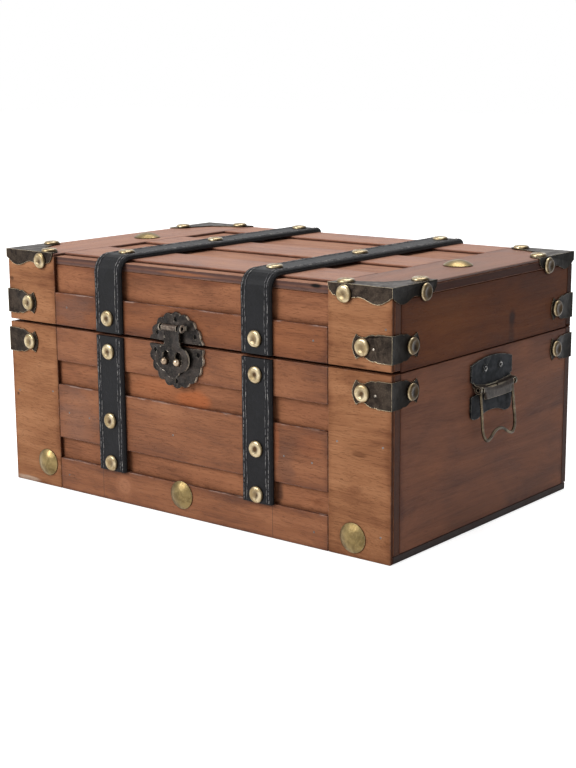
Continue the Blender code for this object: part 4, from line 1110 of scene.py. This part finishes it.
def driveBrads():
    # headless nails sunk in the boards, seen as small grey points, and two in the brackets
    head = [(0, -0.3), (0.55, -0.3), (0.6, 0.02), (0.45, 0.08), (0.3, 0.02), (0, 0.0)]
    board, sheet = -97.3, -97.95
    places = {
        "front_board_middle": (board, ((96.3, 49.2), (76.3, 50.1), (-8.8, 49.6), (-98, 51),
                                       (-80, 50))),
        "front_board_lower": (board, ((97.6, 9.4), (-100, 10))),
        "front_stile_right": (board, ((144.4, 65.2), (143.2, 14.7), (113.7, 64.4))),
        "front_stile_left": (board, ((-144, 60), (-112.5, 63))),
        "lid_front_stile_right": (board, ((145.8, 129.5),)),
        "lid_front_board": (board, ((-97, 118.5), (97.5, 118.5))),
        "lid_bracket_front_right": (sheet, ((138.3, 118.2),)),
        "body_bracket_front_right": (sheet, ((139.7, 93.2),))}
    for node, (face, points) in places.items():
        spinPiece("brads_" + node, head, 14, [facing(ahead, (x, face, z)) for x, z in points],
                  "pale" if "bracket" in node else "steel", bodyOf(node))
    spinPiece("nail_hole_body_bracket", head, 14, [facing(right, (150.35, -85.7, 93.1))],
              "shadow", "chest")


backLip = dict(low=(-149.7, 94.6, 105.2), high=(149.7, 97.3, 106.9), bevel=0.25)


def closeBackSeam():
    # the lid's back edge comes down as far as its ends do
    low, high = Vector(backLip["low"]) * mm, Vector(backLip["high"]) * mm
    bm = bmesh.new()
    bmesh.ops.create_cube(bm, size=1)
    bmesh.ops.scale(bm, vec=high - low, verts=bm.verts)
    bmesh.ops.translate(bm, vec=(high + low) / 2, verts=bm.verts)
    bmesh.ops.bevel(bm, geom=bm.edges[:], offset=backLip["bevel"] * mm, affect="EDGES", segments=2,
                    profile=0.5, material=-1)
    newPiece("lid_back_lip", bm, [nodes["lid_back_rail"].material_slots[0].material], "lid")


fitHinges()
driveBrads()
closeBackSeam()
print("stage 9: hinges and nails")


# Studio.

def seenDirectly(tree):
    # one for rays that the camera sees, also by a mirror or through glass
    path = addNode(tree, "LightPath").outputs
    return calc(tree, "MAXIMUM", path["Is Camera Ray"],
                calc(tree, "MAXIMUM", path["Is Glossy Ray"], path["Is Transmission Ray"]))


def paintStudio():
    world = bpy.data.worlds.new("studio")
    world.use_nodes = True
    bpy.context.scene.world = world
    tree = world.node_tree
    seen = seenDirectly(tree)
    white = addNode(tree, "Background", {"Color": (1, 1, 1, 1), "Strength": 1.0}).outputs[0]
    dim = addNode(tree, "Background", {"Color": (*studio["world"], 1),
                                       "Strength": studio["worldStrength"]}).outputs[0]
    chosen = addNode(tree, "MixShader", {0: seen, 1: dim, 2: white}).outputs[0]
    join(tree, chosen, tree.nodes["World Output"].inputs["Surface"])

    bm = bmesh.new()
    bmesh.ops.create_grid(bm, x_segments=2, y_segments=2, size=6)
    floor = meshObject("floor", bm)
    floor.location.z = -0.0004
    material, tree, shader = newMaterial("pale_floor", roughness=0.9)
    tree.nodes.remove(shader)
    seen = seenDirectly(tree)
    matt = addNode(tree, "BsdfDiffuse", {"Color": (*studio["floorColour"], 1)}).outputs[0]
    around = addNode(tree, "TexCoord").outputs["Object"]
    away = vectorCalc(tree, "LENGTH", around, output=1)
    level = span(tree, away, *studio["glowReach"], *studio["floorGlow"])
    glow = addNode(tree, "Emission", {"Color": (1, 1, 1, 1), "Strength": level}).outputs[0]
    bright = addNode(tree, "AddShader", {0: matt, 1: glow}).outputs[0]
    chosen = addNode(tree, "MixShader", {0: seen, 1: matt, 2: bright}).outputs[0]
    join(tree, chosen, tree.nodes["Material Output"].inputs["Surface"])
    floor.data.materials.append(material)
    bpy.context.scene.view_settings.view_transform = "Standard"


placeCamera()
placeLamps()
paintStudio()
print("stage 10: studio")
